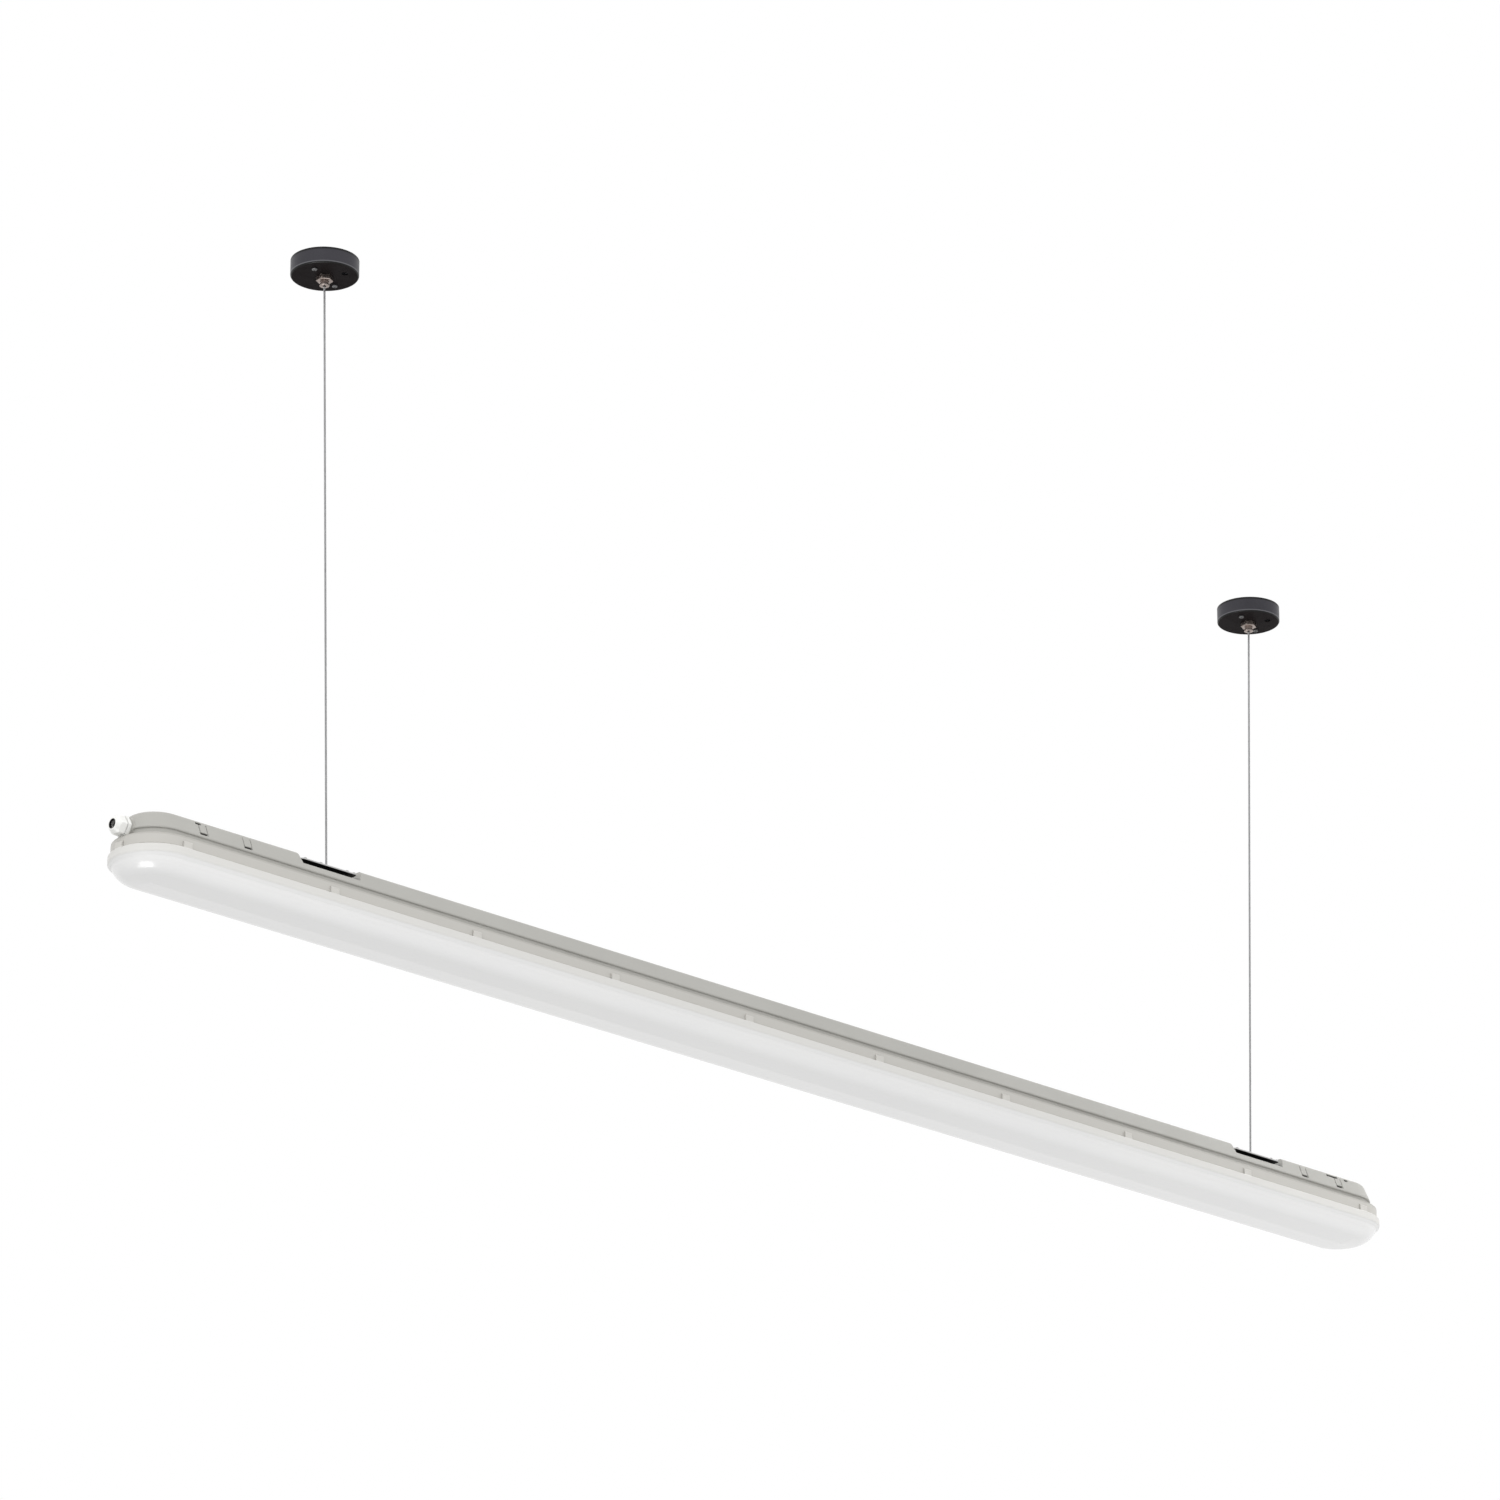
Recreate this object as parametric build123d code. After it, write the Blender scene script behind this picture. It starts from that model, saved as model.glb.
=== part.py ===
import os
from math import atan, cos, degrees, hypot, radians, sin, sqrt
from build123d import *

os.makedirs("parts", exist_ok=True)

# lamp as a whole
lamp_length = 1500.0
cover_width = 78.0
overhang_gland = 222.0
overhang_far = 157.0
drop = 551.0
wire_spread = 17.0

# base housing
top_width = 49.2
flange_step = 2.25
rim_step = 2.75
wall_height = 23.0
rim_height = 10.0
wall = 2.2
groove_height = 6.0
neck = 2.1
top_round = 5.0
rim_wall = 3.25
seal_groove_width = 3.0
seal_groove_depth = 5.5
seal_lip = 3.2

# diffuser cover
cover_gap = 0.5
flange_height = 7.0
shoulder_in = 3.4
shoulder_drop = 3.1
cover_depth = 22.0
bowl_in = 9.5
bowl_rise = 1.5
bowl_round = 17.0
cover_wall = 2.0
cover_lip = 1.6
rib_width = 1.6
gasket_height = 2.5
gasket_clear = 0.1

# snap tongues
tongue_count = 10
tongue_width = 9.0
tongue_height = 5.7
tongue_thick = 1.45
tongue_clear = 0.2

# bracket saddles
saddle_length = 62.0
saddle_slope = 4.0
saddle_gap = 2.2
rail_end_gap = 3.0
rail_half = 14.5
rail_overlap = 2.0
rail_lip = 1.7

# suspension bracket
bracket_thick = 1.2
bracket_drop = 5.3
bracket_end_gap = 1.0
bracket_side_in = 0.9
leg_thick = 1.0
leg_clear = 0.4
toe_thick = 1.0
toe_gap = 0.3
key_half = 2.0
key_clear = 0.6
key_reach = 12.0
seat_offset = 17.5
bead_width = 3.0
bead_height = 1.0
bead_from_gland_end = (4.0, 21.0)
bead_from_far_end = (10.5, 3.0)

# suspension wire and its stop
wire_r = 1.0
stop_r = 3.0
stop_gap = 0.36
stop_tail = 0.6
stop_clear = 1.25

# canopy
canopy_r = 30.0
canopy_height = 15.0
canopy_wall = 1.2
canopy_floor = 1.5
canopy_screw_deg = 23.0
canopy_screw_pcr = 19.0
tail_outlet_deg = -62.0
tail_outlet_r = 3.0

# ceiling plate
plate_gap = 1.8
plate_thick = 1.5
ceiling_hole_r = 2.3
ceiling_hole_pitch = 32.0
standoff_wall = 1.95
standoff_cap = 2.0
canopy_screw_r = 1.25
canopy_head_r = 2.4
canopy_head_height = 1.6
canopy_screw_gap = 5.0

# wire gripper
gripper_flats = 13.0
gripper_collar = 4.5
gripper_shank_wall = 1.1
gripper_shank_top = 5.5
gripper_nut_flats = 14.0
gripper_nut_height = 3.0
plunger_r = 3.5
plunger_clear = 0.3
plunger_wire_gap = 0.55
plunger_top = 12.0
plunger_ring_r = 4.3
plunger_ring_height = 1.8
plunger_travel = 2.5
travel_gap = 0.2
ball_r = 1.1
ball_gap = 0.3
spring_r = 2.7
spring_wire_r = 0.3
spring_top = 7.0
lock_screw_deg = -154.0
lock_screw_r = 1.45

# cable gland
gland_rim_gap = 0.9
gland_boss_edge = 0.5
gland_boss_clear = 2.05
gland_face_in = 8.0
gland_thread_r = 6.0
gland_hole_clear = 0.25
gland_flats = 16.5
gland_hex = 3.0
gland_neck_r = 6.0
gland_neck_wall = 0.8
gland_neck = 4.5
gland_washer = 1.0
gland_bore_r = 4.2
seal_clear = 0.2
seal_bore_r = 3.1
seal_length = 6.0
dome_flats = 15.5
dome_length = 9.5
dome_mouth_r = 4.0
gland_nut_wall = 2.0
gland_nut = 4.0

# side windows and edge notches of the housing, set in from the lamp's ends
window_in = (67.0, 114.0)
window_width = 9.0
window_top = 3.5
window_foot = 14.2
window_depth = 0.8
slit_height = 2.6
slit_depth = 1.7
notch_in_far = ((66.0, 81.0), (52.0, 57.0))
notch_in_gland = ((60.0, 66.0),)
notch_drop = 3.4
notch_height = 2.2

# gear tray and what it carries
tray_end_gap = 60.0
tray_side_gap = 2.3
tray_thick = 0.8
tray_drop = 22.5
tray_edge = 7.5
boss_r = 3.0
boss_y = 17.5
boss_count = 6
boss_in = 25.0
tray_screw_r = 1.5
board_end_gap = 4.1
board_gap = 3.4
board_width = 22.0
board_thick = 1.2
chip_count = 36
chip_size = (3.5, 2.8, 0.7)
board_screw_r = 1.4
driver_length = 220.0
driver_width = 28.0
driver_head_gap = 2.8
driver_ear = 9.0
driver_link_gap = 6.0
ear_thick = 1.5
terminal_length = 38.0
terminal_width = 20.0
terminal_height = 12.5
lead_r = 1.0
lead_rise = 5.5
fit_clear = 0.1

# sizes that follow
wire_pitch = lamp_length - overhang_gland - overhang_far
canopy_pitch = wire_pitch + 2 * wire_spread
lamp_x = (overhang_far - overhang_gland) / 2
lamp_z = -canopy_height - drop
straight = lamp_length - cover_width
cover_half = cover_width / 2
top_half = top_width / 2
rim_half = cover_half - flange_step
throat_half = rim_half - rim_wall - seal_groove_width - seal_lip
lean = (rim_half - rim_step - top_half) / wall_height
lean_deg = degrees(atan(lean))
rim_foot = wall_height + rim_height
lip_level = wall_height - groove_height
wall_across = wall * sqrt(1 + lean * lean)
cover_top = rim_foot + cover_gap
lamp_height = cover_top + cover_depth
bracket_x = (-wire_pitch / 2 - lamp_x, wire_pitch / 2 - lamp_x)
saddle_depth = bracket_drop + rail_lip + toe_gap + toe_thick + saddle_gap
rail_length = saddle_length - 2 * rail_end_gap
rail_neck_half = rail_half - rail_overlap
stop_slot_half = stop_r + stop_clear
stop_drop = bracket_drop + sqrt(stop_r ** 2 - key_half ** 2) + stop_gap
stop_foot = stop_drop + stop_r + stop_tail
plate_r = canopy_r - canopy_wall - plate_gap
standoff_r = canopy_screw_r + standoff_wall
plunger_bore_r = wire_r + plunger_wire_gap
plunger_reach = gripper_collar + plunger_travel + travel_gap + plunger_ring_height
pivot_z = -canopy_height - plunger_reach
wire_fall = pivot_z - lamp_z + stop_drop
wire_length = hypot(wire_fall, wire_spread)
wire_lean = degrees(atan(wire_spread / wire_fall))
gripper_bore_r = plunger_r + plunger_clear
gripper_shank_r = gripper_bore_r + gripper_shank_wall
gland_x = -(lamp_length / 2 - gland_face_in)
gland_drop = wall_height - gland_rim_gap - gland_flats / 2
gland_boss_r = gland_flats / 2 + gland_boss_edge
boss_top_half = top_half + lean * (gland_drop - gland_boss_r) - wall_across
gland_boss_length = -gland_x - straight / 2 - boss_top_half + gland_boss_clear
gland_hole_r = gland_thread_r + gland_hole_clear
gland_nut_flats = 2 * (gland_thread_r + gland_nut_wall)
seal_r = gland_neck_r - gland_neck_wall - seal_clear
window_x = [lamp_length / 2 - inset for inset in window_in]
tray_length = lamp_length - 2 * tray_end_gap
tray_half = top_half + lean * (tray_drop - tray_edge) - wall_across - tray_side_gap
boss_step = (tray_length - 2 * boss_in) / (boss_count - 1)
boss_x = [boss_in - tray_length / 2 + i * boss_step for i in range(boss_count)]
board_length = (tray_length - 2 * board_end_gap - 2 * board_gap) / 3
board_z = -tray_drop - tray_thick - board_thick
driver_height = tray_drop - wall - driver_head_gap


def save(name, *solids):
    if len(solids) == 1:
        export_step(solids[0], "parts/" + name + ".step")
    else:
        export_step(Compound(list(solids)), "parts/" + name + ".step")


def outline(points):
    # closed outline through corner points, each with its own round
    edges = []
    last = None
    first = None
    count = len(points)
    for i in range(count):
        here = points[i]
        before = points[i - 1]
        after = points[(i + 1) % count]
        r = here[2] if len(here) > 2 else 0.0
        if r > 0:
            ax, ay = before[0] - here[0], before[1] - here[1]
            bx, by = after[0] - here[0], after[1] - here[1]
            la, lb = hypot(ax, ay), hypot(bx, by)
            ax, ay, bx, by = ax / la, ay / la, bx / lb, by / lb
            cosine = ax * bx + ay * by
            half = sqrt((1 - cosine) / (1 + cosine))
            reach = r / half
            start = (here[0] + ax * reach, here[1] + ay * reach)
            end = (here[0] + bx * reach, here[1] + by * reach)
            mx, my = ax + bx, ay + by
            lm = hypot(mx, my)
            away = hypot(reach, r) - r
            middle = (here[0] + mx / lm * away, here[1] + my / lm * away)
            if last is not None:
                edges.append(Line(last, start))
            edges.append(ThreePointArc(start, middle, end))
            last = end
            first = first or start
        else:
            if last is not None:
                edges.append(Line(last, here[:2]))
            last = here[:2]
            first = first or here[:2]
    edges.append(Line(last, first))
    return make_face(edges)


def run_round(face, length):
    # half section carried along both sides and round both ends of the lamp
    side = Plane.YZ * face
    other = Plane.YZ * mirror(face, about=Plane.YZ)
    half = length / 2
    body = extrude(Pos(-half, 0, 0) * side, length, dir=(1, 0, 0))
    body += extrude(Pos(-half, 0, 0) * other, length, dir=(1, 0, 0))
    body += revolve(Pos(-half, 0, 0) * side, Axis((-half, 0, 0), (0, 0, 1)), 180)
    body += revolve(Pos(half, 0, 0) * other, Axis((half, 0, 0), (0, 0, 1)), 180)
    return body


def block(x0, x1, y0, y1, z0, z1):
    return Pos((x0 + x1) / 2, (y0 + y1) / 2, (z0 + z1) / 2) * Box(x1 - x0, y1 - y0, z1 - z0)


def rod(r, z0, z1, x=0.0, y=0.0):
    return Pos(x, y, (z0 + z1) / 2) * Cylinder(r, z1 - z0)


def hexagon(flats, z0, z1, turn=0.0):
    shape = extrude(RegularPolygon(flats / 2, 6, major_radius=False), z1 - z0)
    return Pos(0, 0, z0) * Rot(0, 0, turn) * shape


def in_lamp(shape):
    return Pos(lamp_x, 0, lamp_z) * shape


def at_wire(index, shape):
    return Pos((-canopy_pitch / 2, canopy_pitch / 2)[index], 0, 0) * shape


def hung(index, shape):
    # made hanging from its own top end, then set leaning in from its canopy to its bracket
    leaning = Rot(0, (-wire_lean, wire_lean)[index], 0) * shape
    return at_wire(index, Pos(0, 0, pivot_z) * leaning)


def wall_half(drop_from_top):
    return top_half + lean * drop_from_top


# base housing
def housing_shell():
    outer = outline([
        (0, 0),
        (top_half, 0, top_round),
        (wall_half(lip_level), -lip_level, 1.2),
        (throat_half + neck, -lip_level),
        (throat_half + neck, -wall_height),
        (rim_half, -wall_height, 1.0),
        (rim_half, -rim_foot, 0.6),
        (0, -rim_foot),
    ])
    throat_level = (throat_half + wall_across - top_half) / lean
    inside = outline([
        (0, -wall),
        (wall_half(wall) - wall_across, -wall, 1.0),
        (throat_half, -throat_level),
        (throat_half, -rim_foot - 1),
        (0, -rim_foot - 1),
    ])
    inner = throat_half + seal_lip
    groove = outline([
        (inner, -rim_foot + seal_groove_depth),
        (inner + seal_groove_width, -rim_foot + seal_groove_depth),
        (inner + seal_groove_width, -rim_foot - 1),
        (inner, -rim_foot - 1),
    ])
    hollow = run_round(inside, straight)
    for x in bracket_x:
        hollow -= saddle_backing(x)
    for i, x in enumerate(boss_x):
        y = boss_y if i % 2 == 0 else -boss_y
        hollow -= rod(boss_r, -tray_drop, 0, x, y)
    return run_round(outer, straight) - hollow - run_round(groove, straight)


def saddle_backing(x):
    half = saddle_length / 2 + saddle_slope + wall
    middle = x - seat_offset
    floor = block(middle - half, middle + half, -cover_half, cover_half, -saddle_depth - wall, 1)
    reach = stop_slot_half + wall
    cup = block(x - key_reach - reach, x + reach, -reach, reach, -stop_foot - 0.8 - wall, 1)
    return floor + cup


def saddle_cut(x):
    half = saddle_length / 2
    middle = x - seat_offset
    shape = outline([
        (middle - half, -saddle_depth),
        (middle + half, -saddle_depth),
        (middle + half + saddle_slope, 1),
        (middle - half - saddle_slope, 1),
    ])
    return extrude(Pos(0, cover_half, 0) * (Plane.XZ * shape), cover_width, dir=(0, -1, 0))


def saddle_rail(x):
    low = x - seat_offset - rail_length / 2
    high = low + rail_length
    top = -bracket_drop
    lip = block(low, high, -rail_half, rail_half, top - rail_lip, top)
    foot = block(low, high, -rail_neck_half, rail_neck_half, -saddle_depth - 0.2, top - 0.2)
    return lip + foot


def stop_slot(x):
    reach = key_reach
    slot = extrude(SlotCenterToCenter(reach, 2 * stop_slot_half), stop_foot + 0.8 - bracket_drop + 2)
    return Pos(x - reach / 2, 0, -stop_foot - 0.8) * slot


def side_window(x, side):
    middle = (window_top + window_foot) / 2
    tall = (window_foot - window_top) / cos(radians(lean_deg))
    pane = Box(window_width, 2 * window_depth, tall)
    slit = Pos(0, 0, -tall / 2 + slit_height / 2) * Box(window_width - 1, 2 * slit_depth, slit_height)
    tab = Pos(0, 0, slit_height) * Box(window_width - 2, 4 * window_depth, tall)
    shape = (pane - tab) + slit
    face = Pos(x, side * wall_half(middle), -middle)
    return face * Rot(side * lean_deg, 0, 0) * shape


def edge_notch(x0, x1, side):
    face = Pos((x0 + x1) / 2, side * wall_half(notch_drop), -notch_drop)
    return face * Rot(side * lean_deg, 0, 0) * Box(x1 - x0, 2 * slit_depth, notch_height)


def base_housing():
    body = housing_shell()
    for x in bracket_x:
        body -= saddle_cut(x)
        body += saddle_rail(x)
        body -= stop_slot(x)
    end = lamp_length / 2
    for side in (-1, 1):
        for x in window_x:
            body -= side_window(x, side)
            body -= side_window(-x, side)
        for near, far in notch_in_far:
            body -= edge_notch(end - far, end - near, side)
        for near, far in notch_in_gland:
            body -= edge_notch(near - end, far - end, side)
    boss = Pos(gland_x, 0, -gland_drop) * Rot(0, 90, 0) * rod(gland_boss_r, 0, gland_boss_length)
    face = Pos(gland_x, 0, -gland_drop) * Rot(0, -90, 0) * rod(gland_boss_r + 0.3, 0, 20)
    hole = Pos(gland_x, 0, -gland_drop) * Rot(0, 90, 0) * rod(gland_hole_r, -5, 40)
    body = body + boss - face - hole
    for i, x in enumerate(boss_x):
        y = boss_y if i % 2 == 0 else -boss_y
        body -= rod(tray_screw_r + fit_clear, -tray_drop - 1, -tray_drop + 11, x, y)
    return body


# diffuser cover and the gasket it presses on
def diffuser_cover():
    seat = -rim_foot + seal_groove_depth - gasket_height
    rib = throat_half + seal_lip + (seal_groove_width - rib_width) / 2
    bottom = -lamp_height
    flange_foot = -cover_top - flange_height
    shoulder_half = cover_half - shoulder_in
    shoulder = flange_foot - shoulder_drop
    bowl_half_corner = cover_half - bowl_in
    cover_lip_half = rib - cover_lip
    section = outline([
        (0, bottom + cover_wall),
        (bowl_half_corner - 0.6, bottom + bowl_rise + cover_wall - 0.1, bowl_round - cover_wall),
        (shoulder_half - cover_wall * 1.15, shoulder - 0.8, 2.0),
        (cover_half - cover_wall, flange_foot - 0.7, 1.0),
        (cover_half - cover_wall, -cover_top - cover_wall),
        (cover_lip_half, -cover_top - cover_wall),
        (cover_lip_half, -cover_top),
        (rib, -cover_top),
        (rib, seat),
        (rib + rib_width, seat),
        (rib + rib_width, -cover_top),
        (cover_half, -cover_top, 0.8),
        (cover_half, flange_foot, 1.5),
        (shoulder_half, shoulder, 2.5),
        (bowl_half_corner, bottom + bowl_rise, bowl_round),
        (0, bottom),
    ])
    body = run_round(section, straight)
    inner = rim_half + tongue_clear
    top = -cover_top + tongue_height
    reach = (straight - tongue_width) / 2 - 0.5
    for i in range(tongue_count):
        x = -reach + 2 * reach * i / (tongue_count - 1)
        tongue = block(x - tongue_width / 2, x + tongue_width / 2, inner, inner + tongue_thick,
                       -cover_top - 0.5, top)
        tongue = chamfer(tongue.edges().group_by(Axis.Z)[-1].group_by(Axis.Y)[-1], 0.7)
        body += tongue
        body += mirror(tongue, about=Plane.XZ)
    end = straight / 2 + rim_half + tongue_clear
    tip = block(end, end + tongue_thick, -tongue_width / 2, tongue_width / 2, -cover_top - 0.5, top)
    tip = chamfer(tip.edges().group_by(Axis.Z)[-1].group_by(Axis.X)[-1], 0.7)
    body += tip
    body += mirror(tip, about=Plane.YZ)
    return body


def sealing_gasket():
    inner = throat_half + seal_lip + gasket_clear
    outer = throat_half + seal_lip + seal_groove_width - gasket_clear
    top = -rim_foot + seal_groove_depth
    foot = top - gasket_height
    section = outline([(inner, top), (outer, top), (outer, foot), (inner, foot)])
    return run_round(section, straight)


# sprung plate that hooks over the rail of its saddle
def suspension_bracket(x):
    half_x = saddle_length / 2 - bracket_end_gap
    half_y = wall_half(bracket_drop) - bracket_side_in
    low = -bracket_drop
    top = low + bracket_thick
    plate = block(-half_x, half_x, -half_y, half_y, low, top)
    plate = fillet(plate.edges().filter_by(Axis.Z), 3.0)
    inner = rail_half + leg_clear
    foot = low - rail_lip - toe_gap
    leg_half = rail_length / 2 - 2
    bead_x = [inset - half_x for inset in bead_from_gland_end]
    bead_x += [half_x - inset for inset in bead_from_far_end]
    for side in (-1, 1):
        a, b = sorted((side * inner, side * (inner + leg_thick)))
        plate += block(-leg_half, leg_half, a, b, foot - toe_thick, low + 0.1)
        a, b = sorted((side * (rail_neck_half + leg_clear), side * (inner + 0.1)))
        plate += block(-leg_half, leg_half, a, b, foot - toe_thick, foot)
        for bx in bead_x:
            a, b = sorted((side * 8.0, side * (half_y - 0.4)))
            bead = block(bx - bead_width / 2, bx + bead_width / 2, a, b, top - 0.1, top + bead_height)
            plate += fillet(bead.edges().group_by(Axis.Z)[-1].filter_by(Axis.Y), bead_height * 0.9)
    key = extrude(SlotCenterToCenter(key_reach, 2 * key_half), bracket_thick + 2)
    plate -= Pos(seat_offset - key_reach / 2, 0, low - 1) * key
    plate -= rod(stop_r + key_clear, low - 1, top + 1, seat_offset - key_reach, 0)
    return Pos(x - seat_offset, 0, 0) * plate


# suspension wires, their stops and the tails held in the grippers
def suspension_wire():
    return rod(wire_r, stop_r / 2 - wire_length, 0) + Sphere(wire_r)


def wire_stop():
    centre = -wire_length
    ball = Pos(0, 0, centre) * Sphere(stop_r)
    ball += rod(stop_r * 0.55, centre - stop_r - stop_tail, centre)
    return ball - rod(wire_r, centre + stop_r * 0.5, centre + stop_r + 1)


def wire_tail():
    return rod(wire_r, pivot_z + wire_r + ball_gap, -plate_thick - 2.0)


# canopy, ceiling plate and fasteners
def turned(r, angle):
    return (r * cos(radians(angle)), r * sin(radians(angle)))


def canopy():
    cup = rod(canopy_r, -canopy_height, 0)
    cup = fillet(cup.edges().group_by(Axis.Z)[0], 1.6)
    cup -= rod(canopy_r - canopy_wall, -canopy_height + canopy_floor, 1)
    cup -= rod(gripper_shank_r + fit_clear, -canopy_height - 1, 0)
    for angle in (canopy_screw_deg, canopy_screw_deg + 180):
        x, y = turned(canopy_screw_pcr, angle)
        cup -= rod(canopy_screw_r + 0.4, -canopy_height - 1, 0, x, y)
    x, y = turned(canopy_screw_pcr, tail_outlet_deg)
    return cup - rod(tail_outlet_r, -canopy_height - 1, 0, x, y)


def ceiling_plate():
    plate = rod(plate_r, -plate_thick, 0)
    for y in (-ceiling_hole_pitch / 2, ceiling_hole_pitch / 2):
        plate -= rod(ceiling_hole_r, -plate_thick - 1, 1, 0, y)
    return plate


def standoffs():
    made = []
    for angle in (canopy_screw_deg, canopy_screw_deg + 180):
        x, y = turned(canopy_screw_pcr, angle)
        post = rod(standoff_r, -canopy_height + canopy_floor, -plate_thick, x, y)
        hole_top = -plate_thick - standoff_cap
        made.append(post - rod(canopy_screw_r + fit_clear, -canopy_height, hole_top, x, y))
    return made


def pan_screw(head_r, head_height, shank_r, length):
    head = Pos(0, 0, -head_height / 2) * Cylinder(head_r, head_height)
    head = fillet(head.edges().group_by(Axis.Z)[0], head_height * 0.45)
    head -= Pos(0, 0, -head_height) * Box(head_r * 1.1, head_r * 0.3, head_height * 0.9)
    head -= Pos(0, 0, -head_height) * Box(head_r * 0.3, head_r * 1.1, head_height * 0.9)
    return head + rod(shank_r, -0.1, length)


def canopy_screws():
    made = []
    for angle in (canopy_screw_deg, canopy_screw_deg + 180):
        x, y = turned(canopy_screw_pcr, angle)
        reach = canopy_height - canopy_screw_gap
        screw = pan_screw(canopy_head_r, canopy_head_height, canopy_screw_r, reach)
        made.append(Pos(x, y, -canopy_height) * screw)
    return made


# wire gripper
def gripper_body():
    low = -canopy_height - gripper_collar
    body = hexagon(gripper_flats, low, -canopy_height, lock_screw_deg)
    body = chamfer(body.edges().group_by(Axis.Z)[0], 0.5)
    body += rod(gripper_shank_r, -canopy_height - 0.1, -gripper_shank_top)
    body -= rod(gripper_bore_r, low - 1, -spring_top)
    body -= rod(plunger_bore_r, -spring_top - 1, 0)
    hole = Rot(0, 90, 0) * rod(lock_screw_r + fit_clear, 0, gripper_flats)
    return body - Pos(0, 0, -canopy_height - gripper_collar / 2) * Rot(0, 0, lock_screw_deg) * hole


def gripper_nut():
    top = -canopy_height + canopy_floor + gripper_nut_height
    nut = hexagon(gripper_nut_flats, -canopy_height + canopy_floor, top)
    return nut - rod(gripper_shank_r + fit_clear, -canopy_height, 0)


def lock_screw():
    start = gripper_bore_r + 0.5
    screw = rod(lock_screw_r, start, gripper_flats / 2 + 1.4)
    screw -= Pos(0, 0, gripper_flats / 2 + 1.4) * Box(2 * lock_screw_r + 1, 0.7, 1.6)
    screw = Rot(0, 0, lock_screw_deg) * Rot(0, 90, 0) * screw
    return Pos(0, 0, -canopy_height - gripper_collar / 2) * screw


def plunger():
    foot = pivot_z
    body = rod(plunger_r, foot, -plunger_top)
    body += rod(plunger_ring_r, foot, foot + plunger_ring_height)
    body = chamfer(body.edges().group_by(Axis.Z)[0], 0.4)
    body -= rod(plunger_bore_r, foot - 1, 0)
    for turn in (0, 120, 240):
        hole = Rot(0, 0, turn) * Rot(0, 90, 0) * rod(ball_r + 0.2, 0, plunger_r + 2)
        body -= Pos(0, 0, -plunger_top - 2.5) * hole
    return body


def gripper_balls():
    reach = wire_r + ball_gap + ball_r
    made = []
    for turn in (0, 120, 240):
        x, y = turned(reach, turn)
        made.append(Pos(x, y, -plunger_top - 2.5) * Sphere(ball_r))
    return made


def gripper_spring():
    low = -plunger_top + spring_wire_r
    height = plunger_top - spring_top - 2 * spring_wire_r
    path = Pos(0, 0, low) * Helix(height / 3, height, spring_r)
    section = Plane(path @ 0, z_dir=path % 0) * Circle(spring_wire_r)
    return sweep(section, path)


# cable gland, made along +Z and turned to leave the end of the lamp
def at_gland(shape):
    return Pos(gland_x, 0, -gland_drop) * Rot(0, -90, 0) * shape


def gland_body():
    hex_top = gland_washer + gland_hex
    body = hexagon(gland_flats, gland_washer, hex_top, 30)
    body += rod(gland_neck_r, hex_top - 0.1, hex_top + gland_neck)
    body += rod(gland_thread_r, -gland_boss_length - gland_nut - 2, gland_washer + 0.1)
    body -= rod(gland_bore_r, -40, 40)
    return body - rod(seal_r + seal_clear, hex_top + gland_neck + 0.7 - seal_length, 40)


def gland_seal():
    top = gland_washer + gland_hex + gland_neck + 0.7
    return rod(seal_r, top - seal_length, top) - rod(seal_bore_r, top - seal_length - 1, top + 1)


def gland_washer_ring():
    return rod(gland_flats / 2, 0, gland_washer) - rod(gland_hole_r, -1, gland_washer + 1)


def gland_lock_nut():
    low = -gland_boss_length - gland_nut
    nut = hexagon(gland_nut_flats, low, -gland_boss_length, 30)
    return nut - rod(gland_thread_r + 0.15, low - 1, 0)


def gland_dome_nut():
    low = gland_washer + gland_hex + 0.8
    top = low + dome_length
    half = dome_flats / 2
    skin = outline([
        (0, low),
        (half * 1.12, low),
        (half * 1.12, low + dome_length * 0.55, 1.0),
        (half, top - dome_length * 0.32, 4.0),
        (dome_mouth_r + 1.4, top, 1.0),
        (0, top),
    ])
    dome = revolve(Plane.XZ * skin, Axis.Z, 360)
    body = hexagon(dome_flats, low, top, 30) & dome
    clear = gland_neck_r + 0.4
    shelf = gland_washer + gland_hex + gland_neck + 1.1
    hollow = outline([
        (0, low - 1),
        (clear, low - 1),
        (clear, shelf),
        (dome_mouth_r, shelf + 3.0),
        (dome_mouth_r, top + 1),
        (0, top + 1),
    ])
    return body - revolve(Plane.XZ * hollow, Axis.Z, 360)


# gear tray and the electrics on it
def gear_tray():
    half = tray_length / 2
    low = -tray_drop - tray_thick
    tray = block(-half, half, -tray_half, tray_half, low, -tray_drop)
    for side in (-1, 1):
        a, b = sorted((side * tray_half, side * (tray_half - tray_thick)))
        tray += block(-half, half, a, b, low, -tray_drop + tray_edge)
    for i, x in enumerate(boss_x):
        y = boss_y if i % 2 == 0 else -boss_y
        tray -= rod(tray_screw_r + 0.3, low - 1, -tray_drop + 1, x, y)
    for x, y in board_screw_places():
        tray -= rod(board_screw_r + fit_clear, low - 1, -tray_drop + 1, x, y)
    for x in driver_screw_places():
        tray -= rod(board_screw_r + fit_clear, low - 1, -tray_drop + 1, x, 0)
    gap = link_places()[0]
    return tray - block(gap - 1.5, gap + 1.5, -7, 7, low - 1, -tray_drop + 1)


def board_centres():
    step = board_length + board_gap
    return (-step, 0.0, step)


def link_places():
    step = board_length + board_gap
    return (-step / 2, step / 2)


def board_screw_places():
    places = []
    for centre in board_centres():
        for offset in (-0.42, 0.0, 0.42):
            y = board_width / 2 - 3.5
            places.append((centre + offset * board_length, y if offset else -y))
    return places


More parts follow.
